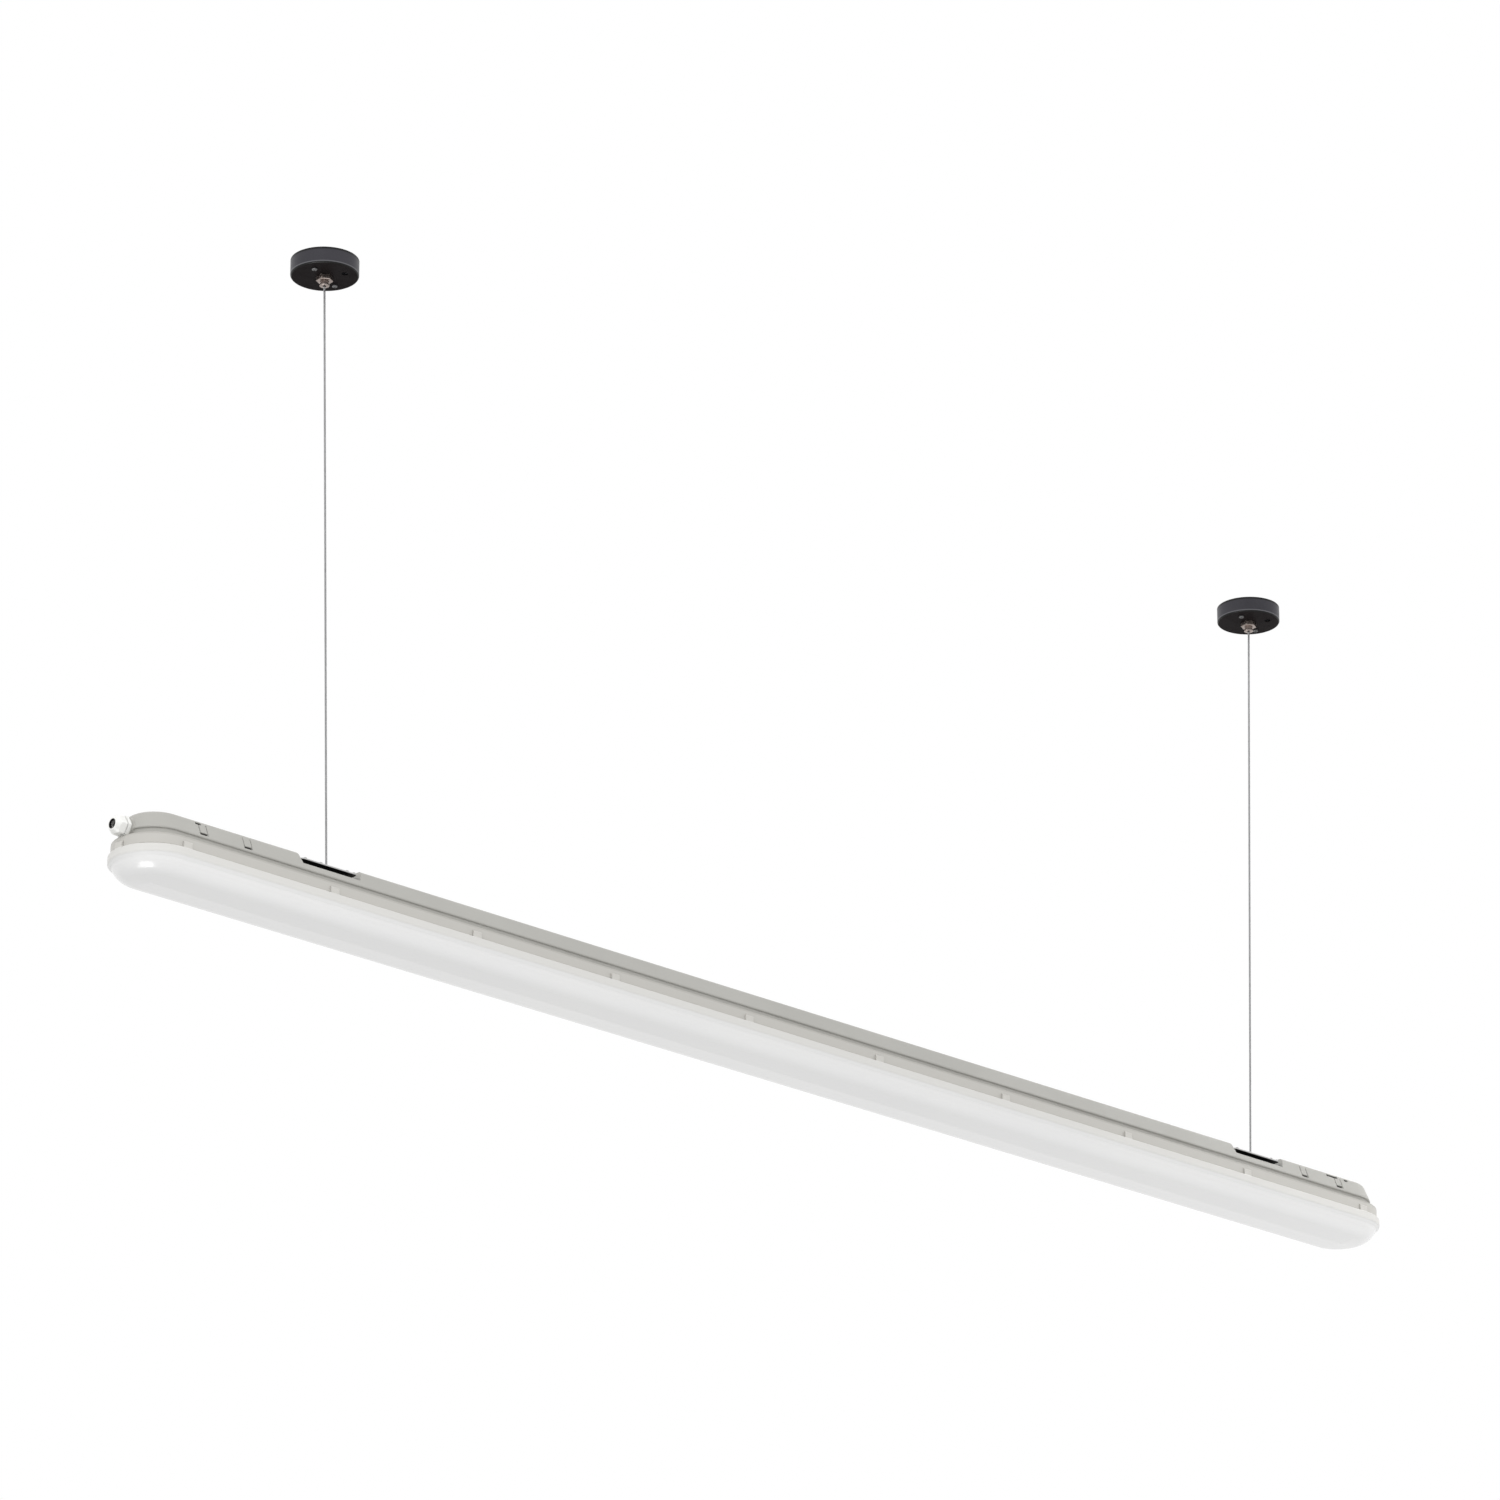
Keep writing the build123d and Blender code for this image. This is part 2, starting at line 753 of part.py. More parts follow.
def led_boards():
    made = []
    half = board_length / 2
    for centre in board_centres():
        board = block(centre - half, centre + half, -board_width / 2, board_width / 2,
                      board_z, board_z + board_thick)
        for x, y in board_screw_places():
            if abs(x - centre) < half:
                board -= rod(board_screw_r + fit_clear, board_z - 1, board_z + board_thick + 1, x, y)
        made.append(board)
    return made


def led_chips():
    made = []
    pitch = (board_length - 24.0) / (chip_count - 1)
    for centre in board_centres():
        for i in range(chip_count):
            x = centre + (i - (chip_count - 1) / 2) * pitch
            made.append(Pos(x, 0, board_z - chip_size[2] / 2) * Box(*chip_size))
    return made


def board_screws():
    made = []
    for x, y in board_screw_places():
        screw = pan_screw(2.6, 1.5, board_screw_r, board_thick + tray_thick)
        made.append(Pos(x, y, board_z) * screw)
    return made


def tray_screws():
    made = []
    for i, x in enumerate(boss_x):
        y = boss_y if i % 2 == 0 else -boss_y
        screw = pan_screw(3.2, 2.0, tray_screw_r, tray_thick + 9.5)
        made.append(Pos(x, y, -tray_drop - tray_thick) * screw)
    return made


def board_links():
    made = []
    for x in link_places():
        link = block(x - 9, x + 9, -5.5, 5.5, board_z - 3.2, board_z)
        made.append(chamfer(link.edges().group_by(Axis.Z)[0], 0.8))
    return made


def driver_span():
    high = link_places()[0] - driver_link_gap
    return (high - driver_length, high)


def driver_screw_places():
    low, high = driver_span()
    return (low + driver_ear / 2, high - driver_ear / 2)


def led_driver():
    low, high = driver_span()
    half = driver_width / 2
    base = -tray_drop
    body = block(low + driver_ear, high - driver_ear, -half, half, base, base + driver_height)
    body = fillet(body.edges().group_by(Axis.Z)[-1], 1.5)
    body += block(low, high, -half + 5, half - 5, base, base + ear_thick)
    for x in driver_screw_places():
        body -= rod(board_screw_r + fit_clear, base - 1, base + 3, x, 0)
    return body


def driver_screws():
    made = []
    for x in driver_screw_places():
        screw = Rot(180, 0, 0) * pan_screw(2.6, 1.5, board_screw_r, ear_thick + tray_thick)
        made.append(Pos(x, 0, -tray_drop + ear_thick) * screw)
    return made


def terminal_span():
    low = boss_x[0] + 12.0
    return (low, low + terminal_length)


def terminal_block():
    low, high = terminal_span()
    half = terminal_width / 2
    base = -tray_drop
    body = block(low, high, -half, half, base, base + terminal_height)
    body = chamfer(body.edges().group_by(Axis.Z)[-1].filter_by(Axis.Y), 2.0)
    for y in (-6, 0, 6):
        mouth = Rot(0, 90, 0) * rod(1.8, -1, 7)
        body -= Pos(low, y, base + lead_rise) * mouth
        body -= rod(1.6, base + terminal_height - 3, base + terminal_height + 1, (low + high) / 2, y)
    return body


def mains_leads():
    start = terminal_span()[1]
    end = driver_span()[0] + driver_ear
    made = []
    for y in (-6, 6):
        lead = Rot(0, 90, 0) * rod(lead_r, 0, end - start)
        made.append(Pos(start, y, -tray_drop + lead_rise) * lead)
    return made


def led_leads():
    start = driver_span()[1] - driver_ear
    end = link_places()[0]
    rise = -tray_drop + lead_rise
    made = []
    for y in (-3.5, 3.5):
        path = Polyline((start, y, rise), (end, y, rise), (end, y, board_z))
        path = fillet(path.vertices().sort_by(Axis.Z)[1:].sort_by(Axis.X)[-1:], 3.0)
        section = Plane((start, y, rise), z_dir=(1, 0, 0)) * Circle(lead_r)
        made.append(sweep(section, path))
    return made


# everything that stays on the ceiling
for i, side in enumerate(("left", "right")):
    save("canopy_" + side, at_wire(i, canopy()))
    save("ceiling_plate_" + side, at_wire(i, ceiling_plate()))
    save("gripper_body_" + side, at_wire(i, gripper_body()))
    save("gripper_plunger_" + side, at_wire(i, plunger()))
    save("gripper_spring_" + side, at_wire(i, gripper_spring()))
    save("gripper_balls_" + side, *[at_wire(i, s) for s in gripper_balls()])
    save("suspension_wire_" + side, hung(i, suspension_wire()))
    save("wire_stop_" + side, hung(i, wire_stop()))
    save("suspension_bracket_" + side, in_lamp(suspension_bracket(bracket_x[i])))
save("canopy_standoffs", *[at_wire(i, s) for i in (0, 1) for s in standoffs()])
save("canopy_screws", *[at_wire(i, s) for i in (0, 1) for s in canopy_screws()])
save("gripper_nuts", *[at_wire(i, gripper_nut()) for i in (0, 1)])
save("gripper_lock_screws", *[at_wire(i, lock_screw()) for i in (0, 1)])
save("wire_tails", *[at_wire(i, wire_tail()) for i in (0, 1)])

# the lamp
save("base_housing", in_lamp(base_housing()))
save("diffuser_cover", in_lamp(diffuser_cover()))
save("sealing_gasket", in_lamp(sealing_gasket()))
save("gear_tray", in_lamp(gear_tray()))
save("tray_screws", *[in_lamp(s) for s in tray_screws()])
save("led_boards", *[in_lamp(s) for s in led_boards()])
save("led_chips", *[in_lamp(s) for s in led_chips()])
save("board_screws", *[in_lamp(s) for s in board_screws()])
save("board_links", *[in_lamp(s) for s in board_links()])
save("led_driver", in_lamp(led_driver()))
save("driver_screws", *[in_lamp(s) for s in driver_screws()])
save("terminal_block", in_lamp(terminal_block()))
save("mains_leads", *[in_lamp(s) for s in mains_leads()])
save("led_leads", *[in_lamp(s) for s in led_leads()])

# the gland
save("gland_body", in_lamp(at_gland(gland_body())))
save("gland_seal", in_lamp(at_gland(gland_seal())))
save("gland_washer", in_lamp(at_gland(gland_washer_ring())))
save("gland_lock_nut", in_lamp(at_gland(gland_lock_nut())))
save("gland_dome_nut", in_lamp(at_gland(gland_dome_nut())))
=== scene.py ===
from math import ceil, cos, pi, radians, sin

import bpy
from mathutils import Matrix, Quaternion, Vector


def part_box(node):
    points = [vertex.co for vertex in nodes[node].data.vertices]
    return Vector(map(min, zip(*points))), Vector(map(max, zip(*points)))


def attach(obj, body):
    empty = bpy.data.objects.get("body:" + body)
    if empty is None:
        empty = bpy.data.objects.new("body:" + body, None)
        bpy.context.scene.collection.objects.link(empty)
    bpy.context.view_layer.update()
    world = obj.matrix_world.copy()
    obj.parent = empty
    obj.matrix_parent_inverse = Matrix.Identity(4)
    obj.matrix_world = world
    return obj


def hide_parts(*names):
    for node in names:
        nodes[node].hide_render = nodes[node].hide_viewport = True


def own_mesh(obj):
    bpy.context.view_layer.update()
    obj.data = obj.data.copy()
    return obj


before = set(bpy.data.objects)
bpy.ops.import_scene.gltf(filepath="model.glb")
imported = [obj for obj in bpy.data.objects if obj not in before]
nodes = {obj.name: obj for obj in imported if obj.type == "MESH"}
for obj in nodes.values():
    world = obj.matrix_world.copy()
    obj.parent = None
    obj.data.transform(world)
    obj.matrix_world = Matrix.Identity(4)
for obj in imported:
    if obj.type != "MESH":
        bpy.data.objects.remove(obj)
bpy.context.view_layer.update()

scene = bpy.context.scene


# camera, from the photo's perspective lines
photoCamera = {
    "place": (-4.29552, -4.60553, -2.81134),
    "yaw": 42.497,  # degrees from +Y towards +X
    "pitch": 21.722,  # degrees above level: the lamp is seen from below
    "lens": 180.0,
    "sensor": 36.0,
    "farClip": 80.0,
}


def placeCamera(setup):
    yaw, pitch = radians(setup["yaw"]), radians(setup["pitch"])
    ahead = Vector((sin(yaw) * cos(pitch), cos(yaw) * cos(pitch), sin(pitch)))
    data = bpy.data.cameras.new("photoCamera")
    data.lens = setup["lens"]
    data.sensor_width = setup["sensor"]
    data.clip_end = setup["farClip"]
    camera = bpy.data.objects.new("photoCamera", data)
    scene.collection.objects.link(camera)
    camera.location = setup["place"]
    camera.rotation_euler = ahead.to_track_quat("-Z", "Y").to_euler()
    scene.camera = camera


placeCamera(photoCamera)
print("camera placed")


# small helpers for node trees
def addNode(tree, kind, inputs=None, **settings):
    made = tree.nodes.new(kind)
    for key, value in settings.items():
        setattr(made, key, value)
    for label, value in (inputs or {}).items():
        feed(tree, made.inputs[label], value)
    return made


def feed(tree, socket, value):
    if isinstance(value, bpy.types.NodeSocket):
        tree.links.new(value, socket)
    else:
        socket.default_value = value


def mixColour(tree, share, first, second):
    made = addNode(tree, "ShaderNodeMix", data_type="RGBA")
    for index, value in ((0, share), (6, first), (7, second)):  # the node's sockets for colours
        feed(tree, made.inputs[index], value)
    return made.outputs[2]


def spanTo(tree, value, low, high, start=0.0, end=1.0):
    span = {"Value": value, "From Min": start, "From Max": end, "To Min": low, "To Max": high}
    return addNode(tree, "ShaderNodeMapRange", span).outputs["Result"]


def mathOf(tree, operation, first, second=0.0):
    made = addNode(tree, "ShaderNodeMath", operation=operation)
    feed(tree, made.inputs[0], first)
    feed(tree, made.inputs[1], second)
    return made.outputs["Value"]


def productOf(tree, first, *others):
    for other in others:
        first = mathOf(tree, "MULTIPLY", first, other)
    return first


def reachOf(tree, first, second):
    # distance from an axis, from the two coordinates across it
    squares = [productOf(tree, part, part) for part in (first, second)]
    return mathOf(tree, "SQRT", mathOf(tree, "ADD", *squares))


def spotOn(tree):
    return addNode(tree, "ShaderNodeTexCoord").outputs["Object"]


def coordinates(tree):
    return addNode(tree, "ShaderNodeSeparateXYZ", {"Vector": spotOn(tree)}).outputs


def facingOf(tree):
    normal = addNode(tree, "ShaderNodeNewGeometry").outputs["Normal"]
    return addNode(tree, "ShaderNodeSeparateXYZ", {"Vector": normal}).outputs


def noiseAt(tree, where, scale, shape):
    return addNode(tree, "ShaderNodeTexNoise", {"Vector": where, "Scale": scale, **shape}).outputs["Fac"]


def ramped(tree, value, start, end):
    # 0 at start, 1 at end, held beyond both
    span = {"Value": value, "From Min": start, "From Max": end}
    return addNode(tree, "ShaderNodeMapRange", span, interpolation_type="SMOOTHSTEP").outputs["Result"]


def tintOver(tree, shader, share, colour):
    under = shader.inputs["Base Color"].links[0].from_socket
    tree.links.new(mixColour(tree, share, under, colour), shader.inputs["Base Color"])


def mixShaders(tree, share, first, second):
    made = addNode(tree, "ShaderNodeMixShader", {"Fac": share})
    tree.links.new(first, made.inputs[1])
    tree.links.new(second, made.inputs[2])
    return made.outputs["Shader"]


def newGroup(name, inputs, outputs):
    group = bpy.data.node_groups.new(name, "ShaderNodeTree")
    for label, kind, value in inputs:
        socket = group.interface.new_socket(label, in_out="INPUT", socket_type="NodeSocket" + kind)
        socket.default_value = value
    for label, kind in outputs:
        group.interface.new_socket(label, in_out="OUTPUT", socket_type="NodeSocket" + kind)
    return group, group.nodes.new("NodeGroupInput").outputs, group.nodes.new("NodeGroupOutput").inputs


# fine moulding grain, and the slow mottle of coloured plastic
grainNoise = {
    "fine": {"Detail": 2.5, "Roughness": 0.6},
    "slow": {"Detail": 3.0, "Roughness": 0.55}, "slowSpan": (0.3, 0.7),
}


def makeMouldedGrain(noise):
    group, given, out = newGroup(
        "mouldedGrain",
        [("Grain Scale", "Float", 900.0), ("Mottle Scale", "Float", 14.0)],
        [("Grain", "Float"), ("Mottle", "Float")])
    where = spotOn(group)
    fine = noiseAt(group, where, given["Grain Scale"], noise["fine"])
    slow = noiseAt(group, where, given["Mottle Scale"], noise["slow"])
    group.links.new(fine, out["Grain"])
    group.links.new(spanTo(group, slow, 0.0, 1.0, *noise["slowSpan"]), out["Mottle"])
    return group


# dust that settles on what faces up
dustNoise = {
    "patch": {"Detail": 5.0, "Roughness": 0.7}, "patchSpan": (0.35, 0.75),
    "upwardSpan": (0.35, 0.95),
}


def makeSettledDust(noise):
    group, given, out = newGroup(
        "settledDust",
        [("Patch Scale", "Float", 30.0), ("Amount", "Float", 0.3)],
        [("Dust", "Float")])
    patch = noiseAt(group, spotOn(group), given["Patch Scale"], noise["patch"])
    upward = spanTo(group, facingOf(group)["Z"], 0.0, 1.0, *noise["upwardSpan"])
    spots = spanTo(group, patch, 0.0, 1.0, *noise["patchSpan"])
    group.links.new(productOf(group, upward, spots, given["Amount"]), out["Dust"])
    return group


# rounded edges and where they are, for the light that a worn or moulded edge catches
edgeTurn = {"samples": 6, "full": 0.72, "none": 0.985}  # agreement of the rounded and the true normal


def makeEdgeCatch(turn):
    group, given, out = newGroup(
        "edgeCatch", [("Radius", "Float", 0.0006)], [("Edge", "Float"), ("Normal", "Vector")])
    soft = addNode(group, "ShaderNodeBevel", {"Radius": given["Radius"]}, samples=turn["samples"])
    flat = addNode(group, "ShaderNodeNewGeometry")
    agree = addNode(group, "ShaderNodeVectorMath", operation="DOT_PRODUCT")
    group.links.new(soft.outputs["Normal"], agree.inputs[0])
    group.links.new(flat.outputs["Normal"], agree.inputs[1])
    edge = spanTo(group, agree.outputs["Value"], 1.0, 0.0, turn["full"], turn["none"])
    group.links.new(edge, out["Edge"])
    group.links.new(soft.outputs["Normal"], out["Normal"])
    return group


# long fine lines left by drawing, turning or brushing
lineNoise = {"lines": {"Detail": 3.0, "Roughness": 0.6}, "lineSpan": (0.3, 0.7)}


def makeDrawnLines(noise):
    group, given, out = newGroup(
        "drawnLines", [("Stretch", "Vector", (60.0, 60.0, 4000.0))], [("Lines", "Float")])
    pulled = addNode(group, "ShaderNodeVectorMath", operation="MULTIPLY")
    group.links.new(spotOn(group), pulled.inputs[0])
    group.links.new(given["Stretch"], pulled.inputs[1])
    lines = noiseAt(group, pulled.outputs["Vector"], 1.0, noise["lines"])
    group.links.new(spanTo(group, lines, 0.0, 1.0, *noise["lineSpan"]), out["Lines"])
    return group


# smears and faint scuffs from handling
smearNoise = {"smear": {"Detail": 6.0, "Roughness": 0.65, "Distortion": 1.2}, "smearSpan": (0.42, 0.7)}


def makeHandling(noise):
    group, given, out = newGroup("handling", [("Scale", "Float", 25.0)], [("Smear", "Float")])
    smear = noiseAt(group, spotOn(group), given["Scale"], noise["smear"])
    group.links.new(spanTo(group, smear, 0.0, 1.0, *noise["smearSpan"]), out["Smear"])
    return group


mouldedGrain = makeMouldedGrain(grainNoise)
settledDust = makeSettledDust(dustNoise)
edgeCatch = makeEdgeCatch(edgeTurn)
drawnLines = makeDrawnLines(lineNoise)
handling = makeHandling(smearNoise)
print("shared node groups made")


def useGroup(tree, group, inputs):
    return addNode(tree, "ShaderNodeGroup", inputs, node_tree=group).outputs


def newMaterial(name, fixed):
    material = bpy.data.materials.new(name)
    material.use_nodes = True
    tree = material.node_tree
    shader = tree.nodes["Principled BSDF"]
    for label, value in fixed.items():
        shader.inputs[label].default_value = value
    return material, tree, shader


def rgb(red, green, blue):
    # screen colour, 0 to 255, as the linear value that the shader works in
    linear = []
    for part in (red, green, blue):
        share = part / 255
        linear.append(share / 12.92 if share <= 0.04045 else ((share + 0.055) / 1.055) ** 2.4)
    return (*linear, 1.0)


# what age and hands do to every finish
wear = {
    "dustDulls": 0.25,  # roughness that dust adds
    "smearDulls": 0.1,  # roughness that smears add to bare metal
    "rubbedEdge": 0.5,  # share of the bright tint on metal edges
    "lineDepth": 0.00005,  # depth of the drawn lines
}


# plastics, paints and rubber: two near tints, dust of its own tint, grain in the bump, and an edge tint
# that, where paler than the body, is a painted highlight
def coatedFinish(name, look):
    material, tree, shader = newMaterial(name, look["fixed"])
    grain = useGroup(tree, mouldedGrain, {
        "Grain Scale": look["grainScale"], "Mottle Scale": look["mottleScale"]})
    edge = useGroup(tree, edgeCatch, {"Radius": look["edgeRadius"]})
    dust = useGroup(tree, settledDust, {"Patch Scale": look["dustScale"], "Amount": look["dustAmount"]})
    smear = useGroup(tree, handling, {"Scale": look["smearScale"]})
    tint = mixColour(tree, grain["Mottle"], look["deep"], look["pale"])
    # edge tint: a painted highlight where the edge colour is paler than the body
    tint = mixColour(tree, productOf(tree, edge["Edge"], look["edgeShare"]), tint, look["edge"])
    tint = mixColour(tree, dust["Dust"], tint, look["dust"])
    tree.links.new(tint, shader.inputs["Base Color"])
    rough = spanTo(tree, smear["Smear"], *look["rough"])
    rough = mathOf(tree, "ADD", rough, productOf(tree, dust["Dust"], wear["dustDulls"]))
    tree.links.new(rough, shader.inputs["Roughness"])
    bump = addNode(tree, "ShaderNodeBump", {
        "Height": grain["Grain"], "Normal": edge["Normal"],
        "Strength": look["bump"], "Distance": look["bumpDepth"]})
    tree.links.new(bump.outputs["Normal"], shader.inputs["Normal"])
    return material, tree, shader


# bare metals: drawn lines, handling smears, brighter edges
def metalFinish(name, look):
    material, tree, shader = newMaterial(name, {"Metallic": 1.0})
    lines = useGroup(tree, drawnLines, {"Stretch": look["stretch"]})
    smear = useGroup(tree, handling, {"Scale": look["smearScale"]})
    edge = useGroup(tree, edgeCatch, {"Radius": look["edgeRadius"]})
    tint = mixColour(tree, lines["Lines"], look["deep"], look["pale"])
    tint = mixColour(tree, productOf(tree, smear["Smear"], look["smearShare"]), tint, look["smear"])
    tint = mixColour(tree, productOf(tree, edge["Edge"], wear["rubbedEdge"]), tint, look["edge"])
    tree.links.new(tint, shader.inputs["Base Color"])
    rough = spanTo(tree, lines["Lines"], *look["rough"])
    rough = mathOf(tree, "ADD", rough, productOf(tree, smear["Smear"], wear["smearDulls"]))
    tree.links.new(rough, shader.inputs["Roughness"])
    bump = addNode(tree, "ShaderNodeBump", {
        "Height": lines["Lines"], "Normal": edge["Normal"],
        "Strength": look["bump"], "Distance": wear["lineDepth"]})
    tree.links.new(bump.outputs["Normal"], shader.inputs["Normal"])
    return material


# grey base, a fine matt moulding: its rim tinted paler as painted light, a thin dark seam of painted shade
# above it, and painted shade in every slit of the wall
housingLook = {
    "deep": rgb(170, 169, 164), "pale": rgb(177, 176, 171), "edge": rgb(198, 197, 193), "edgeShare": 0.4,
    "dust": rgb(198, 196, 191), "dustScale": 22.0, "dustAmount": 0.5,
    "grainScale": 1100.0, "mottleScale": 9.0, "smearScale": 16.0,
    "edgeRadius": 0.0008, "rough": (0.42, 0.52), "bump": 0.12, "bumpDepth": 0.0002,
    "fixed": {"Specular IOR Level": 0.4},
    # the leaning outer wall: its middle, half of its straight run, and half its width at the top
    "top": -0.566, "middle": -0.0325, "straightHalf": 0.711, "topHalf": 0.0246, "lean": 0.4087,
    # each pair is where a tint starts and where it is full, most of them as drops below the top
    # painted light: the rim's paler tint stands for the light its upright face catches
    "rimPaintedLight": rgb(193, 191, 186), "rimTop": (0.0225, 0.023),
    # painted shade: the dark seam stands for the shadow in the groove above the rim
    "seamPaintedShade": rgb(134, 131, 123), "seamShare": 0.25,
    "seamTop": (0.0215, 0.0226), "seamFoot": (0.0253, 0.0238),
    # painted shade: a near-black tint for the shadow inside the wall's slits and notches
    "slit": rgb(24, 22, 21), "slitShare": 0.95, "slitTop": (0.0009, 0.0014), "slitFoot": (0.0165, 0.0161),
    "slitDepth": (0.0009, 0.0012), "endFacing": (0.6, 0.5),
    "hollowTop": (0.0132, 0.0128), "throat": (0.0274, 0.0276),
    "openEnds": (0.655, 0.66), "openDepth": (0.0019, 0.0021),
}


def housingFinish(name, look):
    material, tree, shader = coatedFinish(name, look)
    place = coordinates(tree)
    drop = mathOf(tree, "SUBTRACT", look["top"], place["Z"])
    # painted light: the rim, the same grey plastic as the wall, is tinted paler
    tintOver(tree, shader, ramped(tree, drop, *look["rimTop"]), look["rimPaintedLight"])
    # painted shade: a dark line, from inside the groove over the top of the rim, standing for the groove's
    # shadow
    above = ramped(tree, drop, *look["seamTop"])
    below = ramped(tree, drop, *look["seamFoot"])
    tintOver(tree, shader, productOf(tree, above, below, look["seamShare"]), look["seamPaintedShade"])
    # painted shade in the slits: points that lie well inside the leaning outer wall, above the hollow of
    # the base, are tinted near-black
    along = mathOf(tree, "ABSOLUTE", mathOf(tree, "SUBTRACT", place["X"], look["middle"]))
    past = mathOf(tree, "MAXIMUM", mathOf(tree, "SUBTRACT", along, look["straightHalf"]), 0.0)
    out = reachOf(tree, past, place["Y"])
    wall = mathOf(tree, "ADD", productOf(tree, drop, look["lean"]), look["topHalf"])
    depth = mathOf(tree, "SUBTRACT", wall, out)
    inHeight = productOf(tree, ramped(tree, drop, *look["slitTop"]), ramped(tree, drop, *look["slitFoot"]))
    outside = mathOf(tree, "MAXIMUM", ramped(tree, drop, *look["hollowTop"]),
                     ramped(tree, out, *look["throat"]))
    # past the tray's ends the hollow can be seen with the cover off, and stays grey
    hollow = productOf(tree, ramped(tree, along, *look["openEnds"]),
                       ramped(tree, depth, *look["openDepth"]))
    shut = mathOf(tree, "SUBTRACT", 1.0, hollow)
    lengthwise = ramped(tree, mathOf(tree, "ABSOLUTE", facingOf(tree)["X"]), *look["endFacing"])
    slit = ramped(tree, depth, *look["slitDepth"])
    slit = productOf(tree, slit, inHeight, outside, shut, lengthwise, look["slitShare"])
    tintOver(tree, shader, slit, look["slit"])
    return material


housingGrey = housingFinish("housingGrey", housingLook)

# opal cover, milky with a glossy skin: its flange and tongues are greyer than the bowl
opalLook = {
    "deep": rgb(245, 245, 246), "pale": rgb(247, 247, 247), "edge": rgb(249, 249, 249), "edgeShare": 0.4,
    "dust": rgb(238, 237, 235), "dustScale": 18.0, "dustAmount": 0.4,
    "grainScale": 420.0, "mottleScale": 5.0, "smearScale": 9.0,
    "edgeRadius": 0.0008, "rough": (0.16, 0.2), "bump": 0.008, "bumpDepth": 0.0002,
    "fixed": {"Specular IOR Level": 0.4},
    # heights where each tint starts and where it is full
    "flange": rgb(218, 217, 214), "flangeRise": (-0.6078, -0.6058),
    "shoulderShare": 0.18, "shoulderRise": (-0.618, -0.611),  # the bowl greys a little towards it
    "tongue": rgb(203, 201, 196), "tongueRise": (-0.6002, -0.5988),
    "matt": 0.6, "mattRise": (-0.6105, -0.609),  # the flange and its fillet are matt
}


def opalFinish(name, look):
    material, tree, shader = coatedFinish(name, look)
    height = coordinates(tree)["Z"]
    shoulder = ramped(tree, height, *look["shoulderRise"])
    tintOver(tree, shader, productOf(tree, shoulder, look["shoulderShare"]), look["flange"])
    tintOver(tree, shader, ramped(tree, height, *look["flangeRise"]), look["flange"])
    tintOver(tree, shader, ramped(tree, height, *look["tongueRise"]), look["tongue"])
    matt = productOf(tree, ramped(tree, height, *look["mattRise"]), look["matt"])
    glossy = shader.inputs["Roughness"].links[0].from_socket
    feed(tree, shader.inputs["Roughness"], mathOf(tree, "MAXIMUM", glossy, matt))
    return material


opalCover = opalFinish("opalCover", opalLook)

# cable gland, white nylon; inside its mouth the nylon is tinted near-black as painted shade
glandLook = {
    "deep": rgb(236, 236, 233), "pale": rgb(243, 243, 241), "edge": rgb(248, 248, 247), "edgeShare": 0.6,
    "dust": rgb(224, 222, 217), "dustScale": 90.0, "dustAmount": 0.35,
    "grainScale": 1600.0, "mottleScale": 60.0, "smearScale": 70.0,
    "edgeRadius": 0.0005, "rough": (0.3, 0.42), "bump": 0.08, "bumpDepth": 0.0001,
    "fixed": {},
    # painted shade: near-black inside the mouth's bore
    "mouth": rgb(16, 16, 16), "axisHeight": -0.57985, "mouthEdge": (0.0046, 0.0042),
}


def glandFinish(name, look):
    material, tree, shader = coatedFinish(name, look)
    place = coordinates(tree)
    rise = mathOf(tree, "SUBTRACT", place["Z"], look["axisHeight"])
    out = reachOf(tree, rise, place["Y"])
    # painted shade inside the mouth
    tintOver(tree, shader, ramped(tree, out, *look["mouthEdge"]), look["mouth"])
    return material


glandWhite = glandFinish("glandWhite", glandLook)

# black rubber of the gland's seal
sealLook = {
    "deep": rgb(22, 22, 22), "pale": rgb(34, 34, 33), "edge": rgb(58, 58, 57), "edgeShare": 0.5,
    "dust": rgb(110, 107, 102), "dustScale": 120.0, "dustAmount": 0.3,
    "grainScale": 2200.0, "mottleScale": 120.0, "smearScale": 90.0,
    "edgeRadius": 0.0004, "rough": (0.62, 0.8), "bump": 0.25, "bumpDepth": 0.0001,
    "fixed": {"Specular IOR Level": 0.3},
}
sealBlack = coatedFinish("sealBlack", sealLook)[0]

# foamed gasket in the rim
gasketLook = {
    "deep": rgb(176, 175, 170), "pale": rgb(202, 201, 196), "edge": rgb(212, 211, 207), "edgeShare": 0.3,
    "dust": rgb(196, 193, 186), "dustScale": 80.0, "dustAmount": 0.3,
    "grainScale": 1400.0, "mottleScale": 260.0, "smearScale": 60.0,
    "edgeRadius": 0.0004, "rough": (0.8, 0.95), "bump": 0.6, "bumpDepth": 0.0003,
    "fixed": {"Specular IOR Level": 0.2},
}
gasketGrey = coatedFinish("gasketGrey", gasketLook)[0]

# powder-coated steel tray
trayLook = {
    "deep": rgb(233, 233, 231), "pale": rgb(239, 239, 237), "edge": rgb(205, 206, 207), "edgeShare": 0.35,
    "dust": rgb(215, 213, 208), "dustScale": 26.0, "dustAmount": 0.4,
    "grainScale": 520.0, "mottleScale": 12.0, "smearScale": 18.0,
    "edgeRadius": 0.0005, "rough": (0.38, 0.5), "bump": 0.2, "bumpDepth": 0.0002,
    "fixed": {"Specular IOR Level": 0.45},
}
trayWhite = coatedFinish("trayWhite", trayLook)[0]

